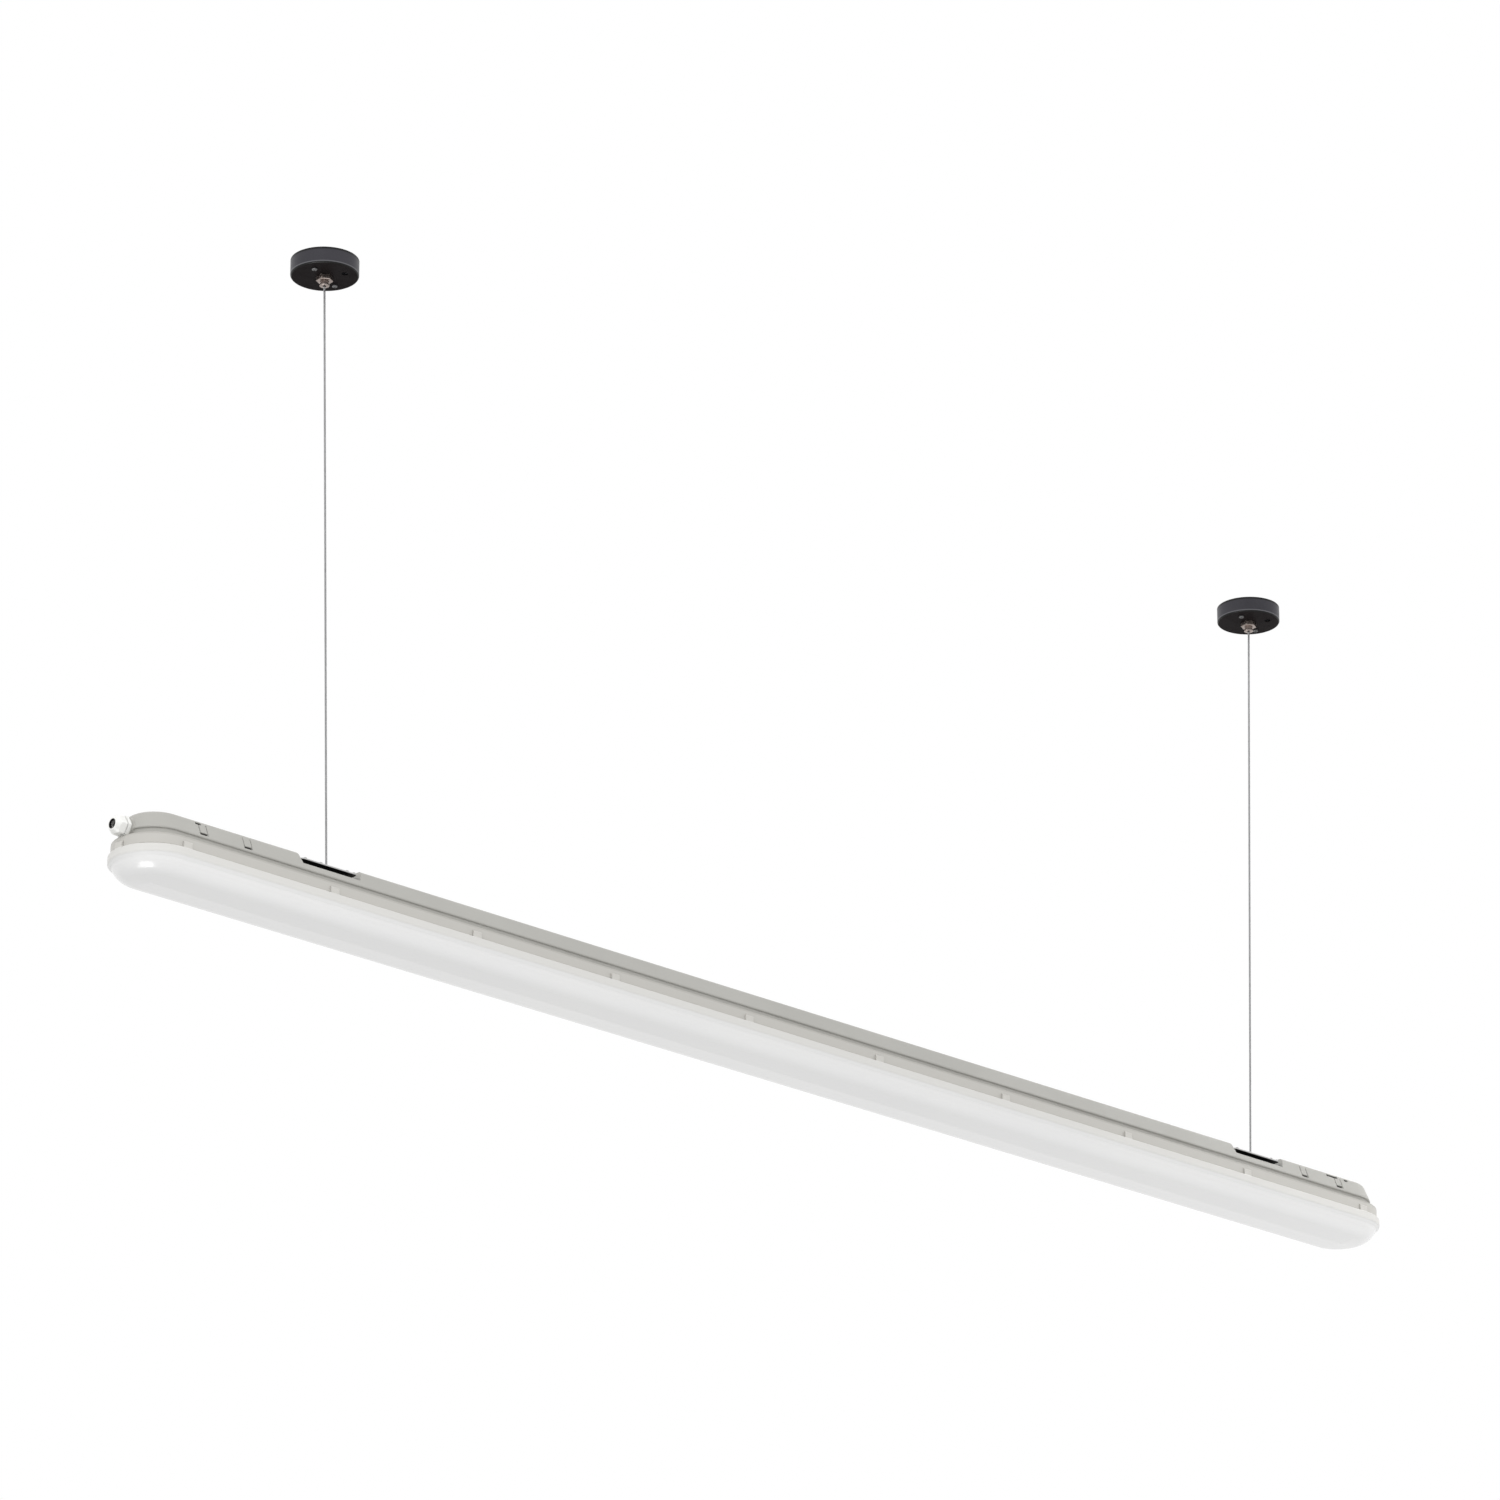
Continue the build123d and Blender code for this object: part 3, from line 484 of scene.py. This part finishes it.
# driver case, terminal block and board links
gearLook = {
    "deep": rgb(226, 226, 223), "pale": rgb(234, 234, 231), "edge": rgb(242, 242, 240), "edgeShare": 0.5,
    "dust": rgb(208, 206, 200), "dustScale": 40.0, "dustAmount": 0.35,
    "grainScale": 1300.0, "mottleScale": 22.0, "smearScale": 30.0,
    "edgeRadius": 0.0005, "rough": (0.45, 0.58), "bump": 0.15, "bumpDepth": 0.0002,
    "fixed": {},
}
gearWhite = coatedFinish("gearWhite", gearLook)[0]

# white solder mask with the copper lanes just showing through it
boardLook = {
    "deep": rgb(236, 236, 233), "pale": rgb(241, 241, 239), "edge": rgb(222, 218, 205), "edgeShare": 0.6,
    "dust": rgb(222, 220, 214), "dustScale": 60.0, "dustAmount": 0.2,
    "grainScale": 900.0, "mottleScale": 40.0, "smearScale": 40.0,
    "edgeRadius": 0.0003, "rough": (0.3, 0.4), "bump": 0.1, "bumpDepth": 0.0001,
    "lane": rgb(226, 224, 214), "laneShare": 0.75,
    "laneWidth": 0.0032, "laneEdge": (0.00096, 0.001152),
    "laneStep": 0.0225, "laneGap": (0.0006, 0.0008),
    "fixed": {},
}


def boardFinish(name, look):
    material, tree, shader = coatedFinish(name, look)
    place = coordinates(tree)
    across = mathOf(tree, "PINGPONG", place["Y"], look["laneWidth"])
    lane = spanTo(tree, across, 0.0, 1.0, *look["laneEdge"])
    along = mathOf(tree, "PINGPONG", place["X"], look["laneStep"])
    gap = spanTo(tree, along, 0.0, 1.0, *look["laneGap"])
    tintOver(tree, shader, productOf(tree, lane, gap, look["laneShare"]), look["lane"])
    return material


boardWhite = boardFinish("boardWhite", boardLook)

# lead sheaths: blue in front of the lamp's middle line, brown behind it
leadLook = {
    "deep": rgb(46, 66, 138), "pale": rgb(56, 78, 152), "edge": rgb(96, 116, 178), "edgeShare": 0.3,
    "dust": rgb(140, 138, 134), "dustScale": 90.0, "dustAmount": 0.25,
    "grainScale": 1500.0, "mottleScale": 90.0, "smearScale": 60.0,
    "edgeRadius": 0.0003, "rough": (0.34, 0.48), "bump": 0.08, "bumpDepth": 0.0001,
    "other": rgb(104, 62, 40), "fixed": {},
}


def leadFinish(name, look):
    material, tree, shader = coatedFinish(name, look)
    side = mathOf(tree, "GREATER_THAN", coordinates(tree)["Y"], 0.0)
    tintOver(tree, shader, side, look["other"])
    return material


leadSheath = leadFinish("leadSheath", leadLook)

# satin black canopy, with a black lower edge: its down-turned face is tinted darker than its skirt as
# painted shade, a painted shadow line runs round its top and a painted highlight above the black lower
# edge
canopyLook = {
    "deep": rgb(49, 48, 54), "pale": rgb(56, 55, 61), "edge": rgb(42, 42, 45), "edgeShare": 0.4,
    "dust": rgb(104, 102, 102), "dustScale": 60.0, "dustAmount": 0.3,
    "grainScale": 1500.0, "mottleScale": 30.0, "smearScale": 45.0,
    "edgeRadius": 0.0005, "rough": (0.45, 0.58), "bump": 0.15, "bumpDepth": 0.0001,
    # painted highlight: a pale band above the black lower edge
    "paintedGlint": rgb(138, 138, 142), "glintAt": (-0.0140, -0.0132, -0.0124), "glintShare": 0.4,
    # painted shadow: a near-black line round the top where the canopy meets the ceiling
    "paintedTopShadow": rgb(16, 16, 18), "topRise": (-0.0026, -0.0012), "topShare": 0.95,
    "rimLine": rgb(14, 14, 14), "rimFall": (-0.0136, -0.0141),
    # painted shade: the face, turned down, is tinted darker than the skirt
    "face": rgb(28, 24, 25), "faceTurn": (-0.93, -0.985),  # by how squarely it faces down
    "skirtCoat": 0.5,  # the face is bare and matt
    "fixed": {"Specular IOR Level": 0.02, "Coat Roughness": 0.3},
}


def canopyFinish(name, look):
    material, tree, shader = coatedFinish(name, look)
    height = coordinates(tree)["Z"]
    # painted shadow round the top
    paintedTopShadow = ramped(tree, height, *look["topRise"])
    tintOver(tree, shader, productOf(tree, paintedTopShadow, look["topShare"]), look["paintedTopShadow"])
    # painted highlight band round the skirt
    low, middle, high = look["glintAt"]
    rising, falling = ramped(tree, height, low, middle), ramped(tree, height, high, middle)
    tintOver(tree, shader, productOf(tree, rising, falling, look["glintShare"]), look["paintedGlint"])
    tintOver(tree, shader, ramped(tree, height, *look["rimFall"]), look["rimLine"])
    # painted shade on the down-turned face, which also gets no coat
    face = ramped(tree, facingOf(tree)["Z"], *look["faceTurn"])
    tintOver(tree, shader, face, look["face"])
    feed(tree, shader.inputs["Coat Weight"], spanTo(tree, face, look["skirtCoat"], 0.0))
    return material


canopyBlack = canopyFinish("canopyBlack", canopyLook)

# zinc plate on screws, posts and ceiling plates
zincLook = {
    "deep": rgb(196, 197, 199), "pale": rgb(214, 214, 213), "edge": rgb(232, 232, 230),
    "smear": rgb(188, 186, 176), "smearShare": 0.5, "smearScale": 120.0,
    "stretch": (90.0, 1500.0, 1500.0), "edgeRadius": 0.0004, "rough": (0.3, 0.42), "bump": 0.25,
}
zincSteel = metalFinish("zincSteel", zincLook)

# canopy screws, dulled by handling
screwLook = {
    "deep": rgb(112, 112, 114), "pale": rgb(142, 142, 143), "edge": rgb(158, 158, 158),
    "smear": rgb(96, 94, 90), "smearShare": 0.6, "smearScale": 160.0,
    "stretch": (700.0, 700.0, 2400.0), "edgeRadius": 0.0003, "rough": (0.36, 0.5), "bump": 0.25,
}
screwSteel = metalFinish("screwSteel", screwLook)

# suspension brackets: bare zinc-bright steel on the plate's top, its edge and its beads; lower down the
# steel is tinted black as painted shade for the dark gap under the plate
bracketLook = {
    "deep": rgb(190, 190, 191), "pale": rgb(208, 208, 207), "edge": rgb(228, 228, 226),
    "smear": rgb(176, 174, 166), "smearShare": 0.4, "smearScale": 140.0,
    "stretch": (90.0, 1500.0, 1500.0), "edgeRadius": 0.0003, "rough": (0.34, 0.46), "bump": 0.2,
    # painted shade: below this height the steel is black, for the shadow gap under the plate
    "paintedShadeBlack": rgb(20, 20, 20), "paintedShadeBelow": -0.57122, "brightAbove": -0.57108,
}


def bracketFinish(name, look):
    material = metalFinish(name, look)
    tree = material.node_tree
    shader = tree.nodes["Principled BSDF"]
    # painted shade: black and not metallic below, bare steel above
    bareTop = ramped(tree, coordinates(tree)["Z"], look["paintedShadeBelow"], look["brightAbove"])
    tree.links.new(bareTop, shader.inputs["Metallic"])
    tintOver(tree, shader, mathOf(tree, "SUBTRACT", 1.0, bareTop), look["paintedShadeBlack"])
    return material


bracketPaintedShade = bracketFinish("bracketPaintedShade", bracketLook)

# stranded wire and its crimped stops
wireLook = {
    "deep": rgb(178, 178, 180), "pale": rgb(204, 204, 205), "edge": rgb(218, 218, 218),
    "smear": rgb(168, 167, 165), "smearShare": 0.4, "smearScale": 220.0,
    "stretch": (2600.0, 2600.0, 260.0), "edgeRadius": 0.0002, "rough": (0.32, 0.44), "bump": 0.2,
}
wireSteel = metalFinish("wireSteel", wireLook)

# nickel on turned brass
gripperLook = {
    "deep": rgb(158, 145, 139), "pale": rgb(190, 178, 172), "edge": rgb(222, 214, 210),
    "smear": rgb(140, 126, 118), "smearShare": 0.5, "smearScale": 160.0,
    "stretch": (120.0, 120.0, 5200.0), "edgeRadius": 0.0004, "rough": (0.24, 0.36), "bump": 0.25,
}
gripperNickel = metalFinish("gripperNickel", gripperLook)

# drawn spring wire and hardened balls
springLook = {
    "deep": rgb(170, 170, 172), "pale": rgb(196, 196, 197), "edge": rgb(220, 220, 220),
    "smear": rgb(150, 146, 140), "smearShare": 0.4, "smearScale": 260.0,
    "stretch": (900.0, 900.0, 3200.0), "edgeRadius": 0.0002, "rough": (0.2, 0.32), "bump": 0.15,
}
springSteel = metalFinish("springSteel", springLook)
print("materials made:", len(bpy.data.materials))


# which CAD nodes take which finish
dressing = [
    (housingGrey, ["base_housing"]),
    (opalCover, ["diffuser_cover"]),
    (glandWhite, ["gland_body", "gland_dome_nut", "gland_lock_nut"]),
    (sealBlack, ["gland_seal"]),
    (gasketGrey, ["sealing_gasket", "gland_washer"]),
    (trayWhite, ["gear_tray"]),
    (boardWhite, ["led_boards"]),
    (gearWhite, ["led_driver", "terminal_block", "board_links"]),
    (leadSheath, ["mains_leads", "led_leads"]),
    (zincSteel, ["tray_screws", "board_screws", "driver_screws", "canopy_standoffs",
                 "ceiling_plate_left", "ceiling_plate_right"]),
    (screwSteel, ["canopy_screws"]),
    (bracketPaintedShade, ["suspension_bracket_left", "suspension_bracket_right"]),
    (wireSteel, ["wire_stop_left", "wire_stop_right", "wire_tails"]),
    (gripperNickel, ["gripper_body_left", "gripper_body_right", "gripper_plunger_left",
                     "gripper_plunger_right", "gripper_nuts", "gripper_lock_screws"]),
    (springSteel, ["gripper_balls_left", "gripper_balls_right"]),
    (canopyBlack, ["canopy_left", "canopy_right"]),
]
for finish, names in dressing:
    for name in names:
        mesh = nodes[name].data
        mesh.materials.clear()
        mesh.materials.append(finish)
print("CAD nodes dressed")


def addPiece(name, points, faces, finishes, smooth=True):
    mesh = bpy.data.meshes.new(name)
    mesh.from_pydata(points, [], faces)
    for finish in finishes:
        mesh.materials.append(finish)
    if smooth:
        mesh.shade_smooth()
    piece = bpy.data.objects.new(name, mesh)
    scene.collection.objects.link(piece)
    return piece


bothSides = (("left", -1.0), ("right", 1.0))

# suspension wires: six strands laid round a core, from the gripper's mouth to the ball in the bracket
suspensionWire = {
    "top": (0.5775, 0.0, -0.024),  # right side: the left one is its mirror
    "stop": (0.5605, 0.0, -0.573896),
    "intoStop": 0.0015,  # the strands end this far above the ball's centre
    "diameter": 0.002,
    "strands": 6,
    "layLength": 0.0105,  # one full turn of a strand
    "stepsPerLay": 10,
    "sides": 6,
}


def wireRoute(side, wire):
    top, stop = Vector(wire["top"]), Vector(wire["stop"])
    foot = stop + (top - stop).normalized() * wire["intoStop"]
    mirror = Vector((side, 1.0, 1.0))
    return [mirror * point for point in (top, (top + foot) / 2, foot)]


def routeLine(name, points, steps):
    data = bpy.data.curves.new(name, "CURVE")
    data.dimensions = "3D"
    spline = data.splines.new("NURBS")
    spline.points.add(len(points) - 1)
    for spot, point in zip(spline.points, points):
        spot.co = (*point, 1.0)
    spline.order_u = 3
    spline.use_endpoint_u = True
    spline.resolution_u = ceil(steps / (len(points) - 1))
    holder = bpy.data.objects.new(name, data)
    mesh = bpy.data.meshes.new_from_object(holder)
    line = [vertex.co.copy() for vertex in mesh.vertices]
    bpy.data.meshes.remove(mesh)
    bpy.data.curves.remove(data)
    return line


def layStrands(line, wire):
    # tubes through rings of points: the core runs straight, the others wind round it
    ahead = (line[-1] - line[0]).normalized()
    across = ahead.cross(Vector((0.0, 1.0, 0.0))).normalized()
    third = ahead.cross(across)
    thin = wire["diameter"] / 6  # radius of a strand: three of them fit across the wire
    sides = wire["sides"]
    points, faces = [], []
    for strand in range(wire["strands"] + 1):
        first = len(points)
        for spot in line:
            turn = 2 * pi * ((spot - line[0]).length / wire["layLength"] + strand / wire["strands"])
            out = 0.0 if strand == wire["strands"] else 2 * thin
            middle = spot + out * (cos(turn) * across + sin(turn) * third)
            for k in range(sides):
                a = turn + 2 * pi * k / sides
                points.append(middle + thin * (cos(a) * across + sin(a) * third))
        for ring in range(len(line) - 1):
            low = first + ring * sides
            for k in range(sides):
                after = (k + 1) % sides
                faces.append((low + k, low + after, low + sides + after, low + sides + k))
        faces.append(tuple(reversed(range(first, first + sides))))
        faces.append(tuple(range(len(points) - sides, len(points))))
    return points, faces


for sideName, side in bothSides:
    route = wireRoute(side, suspensionWire)
    wireLength = (route[-1] - route[0]).length
    steps = wireLength / suspensionWire["layLength"] * suspensionWire["stepsPerLay"]
    line = routeLine("wireRoute", route, steps)
    points, faces = layStrands(line, suspensionWire)
    strands = addPiece("wireStrands_" + sideName, points, faces, [wireSteel])
    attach(strands, "wire_" + sideName)
    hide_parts("suspension_wire_" + sideName)
    print("wire laid:", sideName, round(wireLength, 4), "m,", len(faces), "faces")


# return springs: closed end turns, wound at rest between the plunger's seat and the shoulder
returnSpring = {
    "shoulder": -0.007, "seat": -0.012,  # heights of its two ends at rest
    "radius": 0.0027, "wire": 0.0003,  # wire: half its thickness
    "turns": 5, "closedTurns": 1, "stepsPerTurn": 20, "sides": 8,
    "pressed": 0.5,  # share of its length left with the plunger fully in
}


def windSpring(centre, spring):
    thick, turns, closed = spring["wire"], spring["turns"], spring["closedTurns"]
    low, high = spring["seat"] + thick, spring["shoulder"] - thick
    steps, sides = turns * spring["stepsPerTurn"], spring["sides"]
    points, faces = [], []
    for step in range(steps + 1):
        turn = step / spring["stepsPerTurn"]
        # a closed turn rises by the thickness of its wire, and the open ones share what is left
        fromLow = min(turn, closed) * 2 * thick
        fromHigh = max(turn - turns + closed, 0.0) * 2 * thick
        stretch = min(max(turn - closed, 0.0), turns - 2 * closed) / (turns - 2 * closed)
        height = low + fromLow + fromHigh + stretch * (high - low - 4 * closed * thick)
        swing = 2 * pi * turn
        for k in range(sides):
            a = 2 * pi * k / sides
            reach = spring["radius"] + thick * cos(a)
            points.append((centre + reach * cos(swing), reach * sin(swing), height + thick * sin(a)))
    for ring in range(steps):
        first = ring * sides
        for k in range(sides):
            after = (k + 1) % sides
            faces.append((first + k, first + sides + k, first + sides + after, first + after))
    faces.append(tuple(range(sides)))
    faces.append(tuple(reversed(range(len(points) - sides, len(points)))))
    return points, faces


for sideName, side in bothSides:
    centre = side * suspensionWire["top"][0]
    points, faces = windSpring(centre, returnSpring)
    spring = addPiece("returnSpring_" + sideName, points, faces, [springSteel])
    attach(spring, "ceiling")
    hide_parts("gripper_spring_" + sideName)
    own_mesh(spring)
    print("spring wound:", sideName, len(faces), "faces")


# LED packages: a white frame round a pool of yellow phosphor
ledPackage = {
    "poolShare": 0.4,  # the pool's radius as a share of the package's width
    "poolDepth": 0.00022,
    "chamfer": 0.0002,
    "sides": 16,
    "frame": {
        "deep": rgb(238, 238, 234), "pale": rgb(244, 244, 240),
        "edge": rgb(249, 249, 247), "edgeShare": 0.4,
        "dust": rgb(230, 228, 222), "dustScale": 300.0, "dustAmount": 0.1,
        "grainScale": 3000.0, "mottleScale": 300.0, "smearScale": 200.0,
        "edgeRadius": 0.0001, "rough": (0.28, 0.4), "bump": 0.05, "bumpDepth": 0.00005, "fixed": {},
    },
    "phosphor": {
        "deep": rgb(236, 205, 84), "pale": rgb(246, 221, 118),
        "edge": rgb(250, 236, 170), "edgeShare": 0.5,
        "dust": rgb(238, 214, 120), "dustScale": 300.0, "dustAmount": 0.1,
        "grainScale": 5200.0, "mottleScale": 900.0, "smearScale": 300.0,
        "edgeRadius": 0.0001, "rough": (0.2, 0.34), "bump": 0.2, "bumpDepth": 0.00005,
        "fixed": {"Coat Weight": 0.3},
    },
}


def chipPlaces(name):
    ends = sorted({round(vertex.co.x, 5) for vertex in nodes[name].data.vertices})
    return [(a + b) / 2 for a, b in zip(ends[::2], ends[1::2])], (ends[1] - ends[0]) / 2


def buildPackages(package):
    low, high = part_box("led_chips")
    places, halfLong = chipPlaces("led_chips")
    halfWide, middle = (high.y - low.y) / 2, (high.y + low.y) / 2
    sides, cut = package["sides"], package["chamfer"]
    poolRadius = 2 * halfWide * package["poolShare"]
    # rings: three square ones, of the back and both edges of the chamfer, then the pool's edge and floor
    heights = (high.z, low.z + cut, low.z, low.z, low.z + package["poolDepth"])
    squareTrims = (0.0, 0.0, cut)
    points, faces, kinds = [], [], []
    for place in places:
        first = len(points)
        for level, height in enumerate(heights):
            for k in range(sides):
                a = 2 * pi * (k + 0.5) / sides
                if level < len(squareTrims):
                    reach, trim = 1 / max(abs(cos(a)), abs(sin(a))), squareTrims[level]
                    x, y = cos(a) * reach * (halfLong - trim), sin(a) * reach * (halfWide - trim)
                else:
                    x, y = cos(a) * poolRadius, sin(a) * poolRadius
                points.append((place + x, middle + y, height))
        last = len(points) - sides
        for ring in range(first, last, sides):
            for k in range(sides):
                a, b = ring + k, ring + (k + 1) % sides
                faces.append((a, a + sides, b + sides, b))
                kinds.append(0)
        faces.append(tuple(range(first, first + sides)))
        kinds.append(0)
        faces.append(tuple(reversed(range(last, last + sides))))
        kinds.append(1)  # the pool's floor is phosphor
    return points, faces, kinds


points, faces, kinds = buildPackages(ledPackage)
packages = addPiece("ledPackages", points, faces, [
    coatedFinish("packageWhite", ledPackage["frame"])[0],
    coatedFinish("phosphorYellow", ledPackage["phosphor"])[0]], smooth=False)
packages.data.polygons.foreach_set("material_index", kinds)
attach(packages, "luminaire")
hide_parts("led_chips")
print("LED packages built:", len(faces), "faces")


pureWhite = (1.0, 1.0, 1.0, 1.0)

# plain pale floor, well below the lamp; its underside lets the camera through
studioFloor = {
    "level": -4.2, "half": 14.0, "tint": rgb(224, 224, 223), "speckle": rgb(220, 220, 219),
    "cloud": {"Scale": 0.6, "Detail": 3.0},
    "fade": (7.5, 13.0),  # it pales out into the white room over these distances
    "fixed": {"Roughness": 0.9, "Specular IOR Level": 0.1},
}


def seenRay(tree):
    ray = addNode(tree, "ShaderNodeLightPath").outputs
    seen = mathOf(tree, "MAXIMUM", ray["Is Camera Ray"], ray["Is Glossy Ray"])
    return mathOf(tree, "MAXIMUM", seen, ray["Is Transmission Ray"])


def layFloor(floor):
    half, level = floor["half"], floor["level"]
    corners = [(-half, -half, level), (half, -half, level), (half, half, level), (-half, half, level)]
    material, tree, shader = newMaterial("floorPaper", floor["fixed"])
    cloud = addNode(tree, "ShaderNodeTexNoise", floor["cloud"]).outputs["Fac"]
    tree.links.new(mixColour(tree, cloud, floor["tint"], floor["speckle"]), shader.inputs["Base Color"])
    place = coordinates(tree)
    away = reachOf(tree, place["X"], place["Y"])
    fade = productOf(tree, ramped(tree, away, *floor["fade"]), seenRay(tree))
    white = addNode(tree, "ShaderNodeEmission", {"Color": pureWhite, "Strength": 1.0})
    paled = mixShaders(tree, fade, shader.outputs["BSDF"], white.outputs["Emission"])
    behind = addNode(tree, "ShaderNodeNewGeometry").outputs["Backfacing"]
    clear = addNode(tree, "ShaderNodeBsdfTransparent").outputs["BSDF"]
    surface = mixShaders(tree, behind, paled, clear)
    tree.links.new(surface, tree.nodes["Material Output"].inputs["Surface"])
    addPiece("studioFloor", corners, [(0, 1, 2, 3)], [material], smooth=False)


layFloor(studioFloor)

# soft studio light: an even white room, weak softboxes off both ends and in front, a fill from behind,
# and a window below the gland end that only glossy surfaces mirror
studioLight = {
    "room": 0.95,  # strength of the room's light on the object
    "softboxes": [
        {"name": "nearSoftbox", "place": (-2.6, -0.6, 1.2), "aim": (-0.75, 0.0, -0.58),
         "size": (1.6, 1.6), "power": 13.0},
        {"name": "farSoftbox", "place": (0.87, -0.25, -0.15), "aim": (0.68, 0.0, -0.58),
         "size": (0.3, 0.3), "power": 1.2},
        {"name": "frontSoftbox", "place": (-0.35, -3.0, -1.5), "aim": (-0.03, 0.0, -0.6),
         "size": (3.0, 1.0), "power": 5.0},
        {"name": "nearSideSoftbox", "place": (-1.25, -0.95, -0.45), "aim": (-0.72, 0.0, -0.6),
         "size": (0.6, 0.6), "power": 1.6},
        {"name": "lowSoftbox", "place": (1.2, -0.5, -1.1), "aim": (0.7, 0.0, -0.6),
         "size": (0.6, 0.6), "power": 0.8},
        {"name": "backFill", "place": (0.6, 4.6, 0.8), "aim": (0.0, 0.0, -0.4),
         "size": (3.0, 3.0), "power": 30.0},
        {"name": "mirroredWindow", "place": (-1.643, -0.048, -2.957), "aim": (-0.7684, -0.0207, -0.6145),
         "size": (1.25, 1.45), "power": 46.0, "roll": -35.0, "mirrored": True},
    ],
}


def hangSoftbox(box):
    data = bpy.data.lights.new(box["name"], "AREA")
    data.shape = "RECTANGLE"
    data.size, data.size_y = box["size"]
    data.energy = box["power"]
    lamp = bpy.data.objects.new(box["name"], data)
    scene.collection.objects.link(lamp)
    lamp.location = box["place"]
    toward = Vector(box["aim"]) - Vector(box["place"])
    turn = Quaternion((0.0, 0.0, 1.0), radians(box.get("roll", 0.0)))
    lamp.rotation_euler = (toward.to_track_quat("-Z", "Y") @ turn).to_euler()
    lamp.visible_camera = False
    lamp.visible_glossy = box.get("mirrored", False)  # the room itself is what the rest mirrors
    lamp.visible_diffuse = not lamp.visible_glossy


def lightRoom(light):
    world = bpy.data.worlds.new("studioRoom")
    world.use_nodes = True
    scene.world = world
    tree = world.node_tree
    soft = tree.nodes["Background"]
    soft.inputs["Color"].default_value = pureWhite
    soft.inputs["Strength"].default_value = light["room"]
    white = addNode(tree, "ShaderNodeBackground", {"Color": pureWhite, "Strength": 1.0})
    room = mixShaders(tree, seenRay(tree), soft.outputs["Background"], white.outputs["Background"])
    tree.links.new(room, tree.nodes["World Output"].inputs["Surface"])
    for box in light["softboxes"]:
        hangSoftbox(box)


lightRoom(studioLight)
scene.view_settings.view_transform = "Standard"
print("floor and light set")
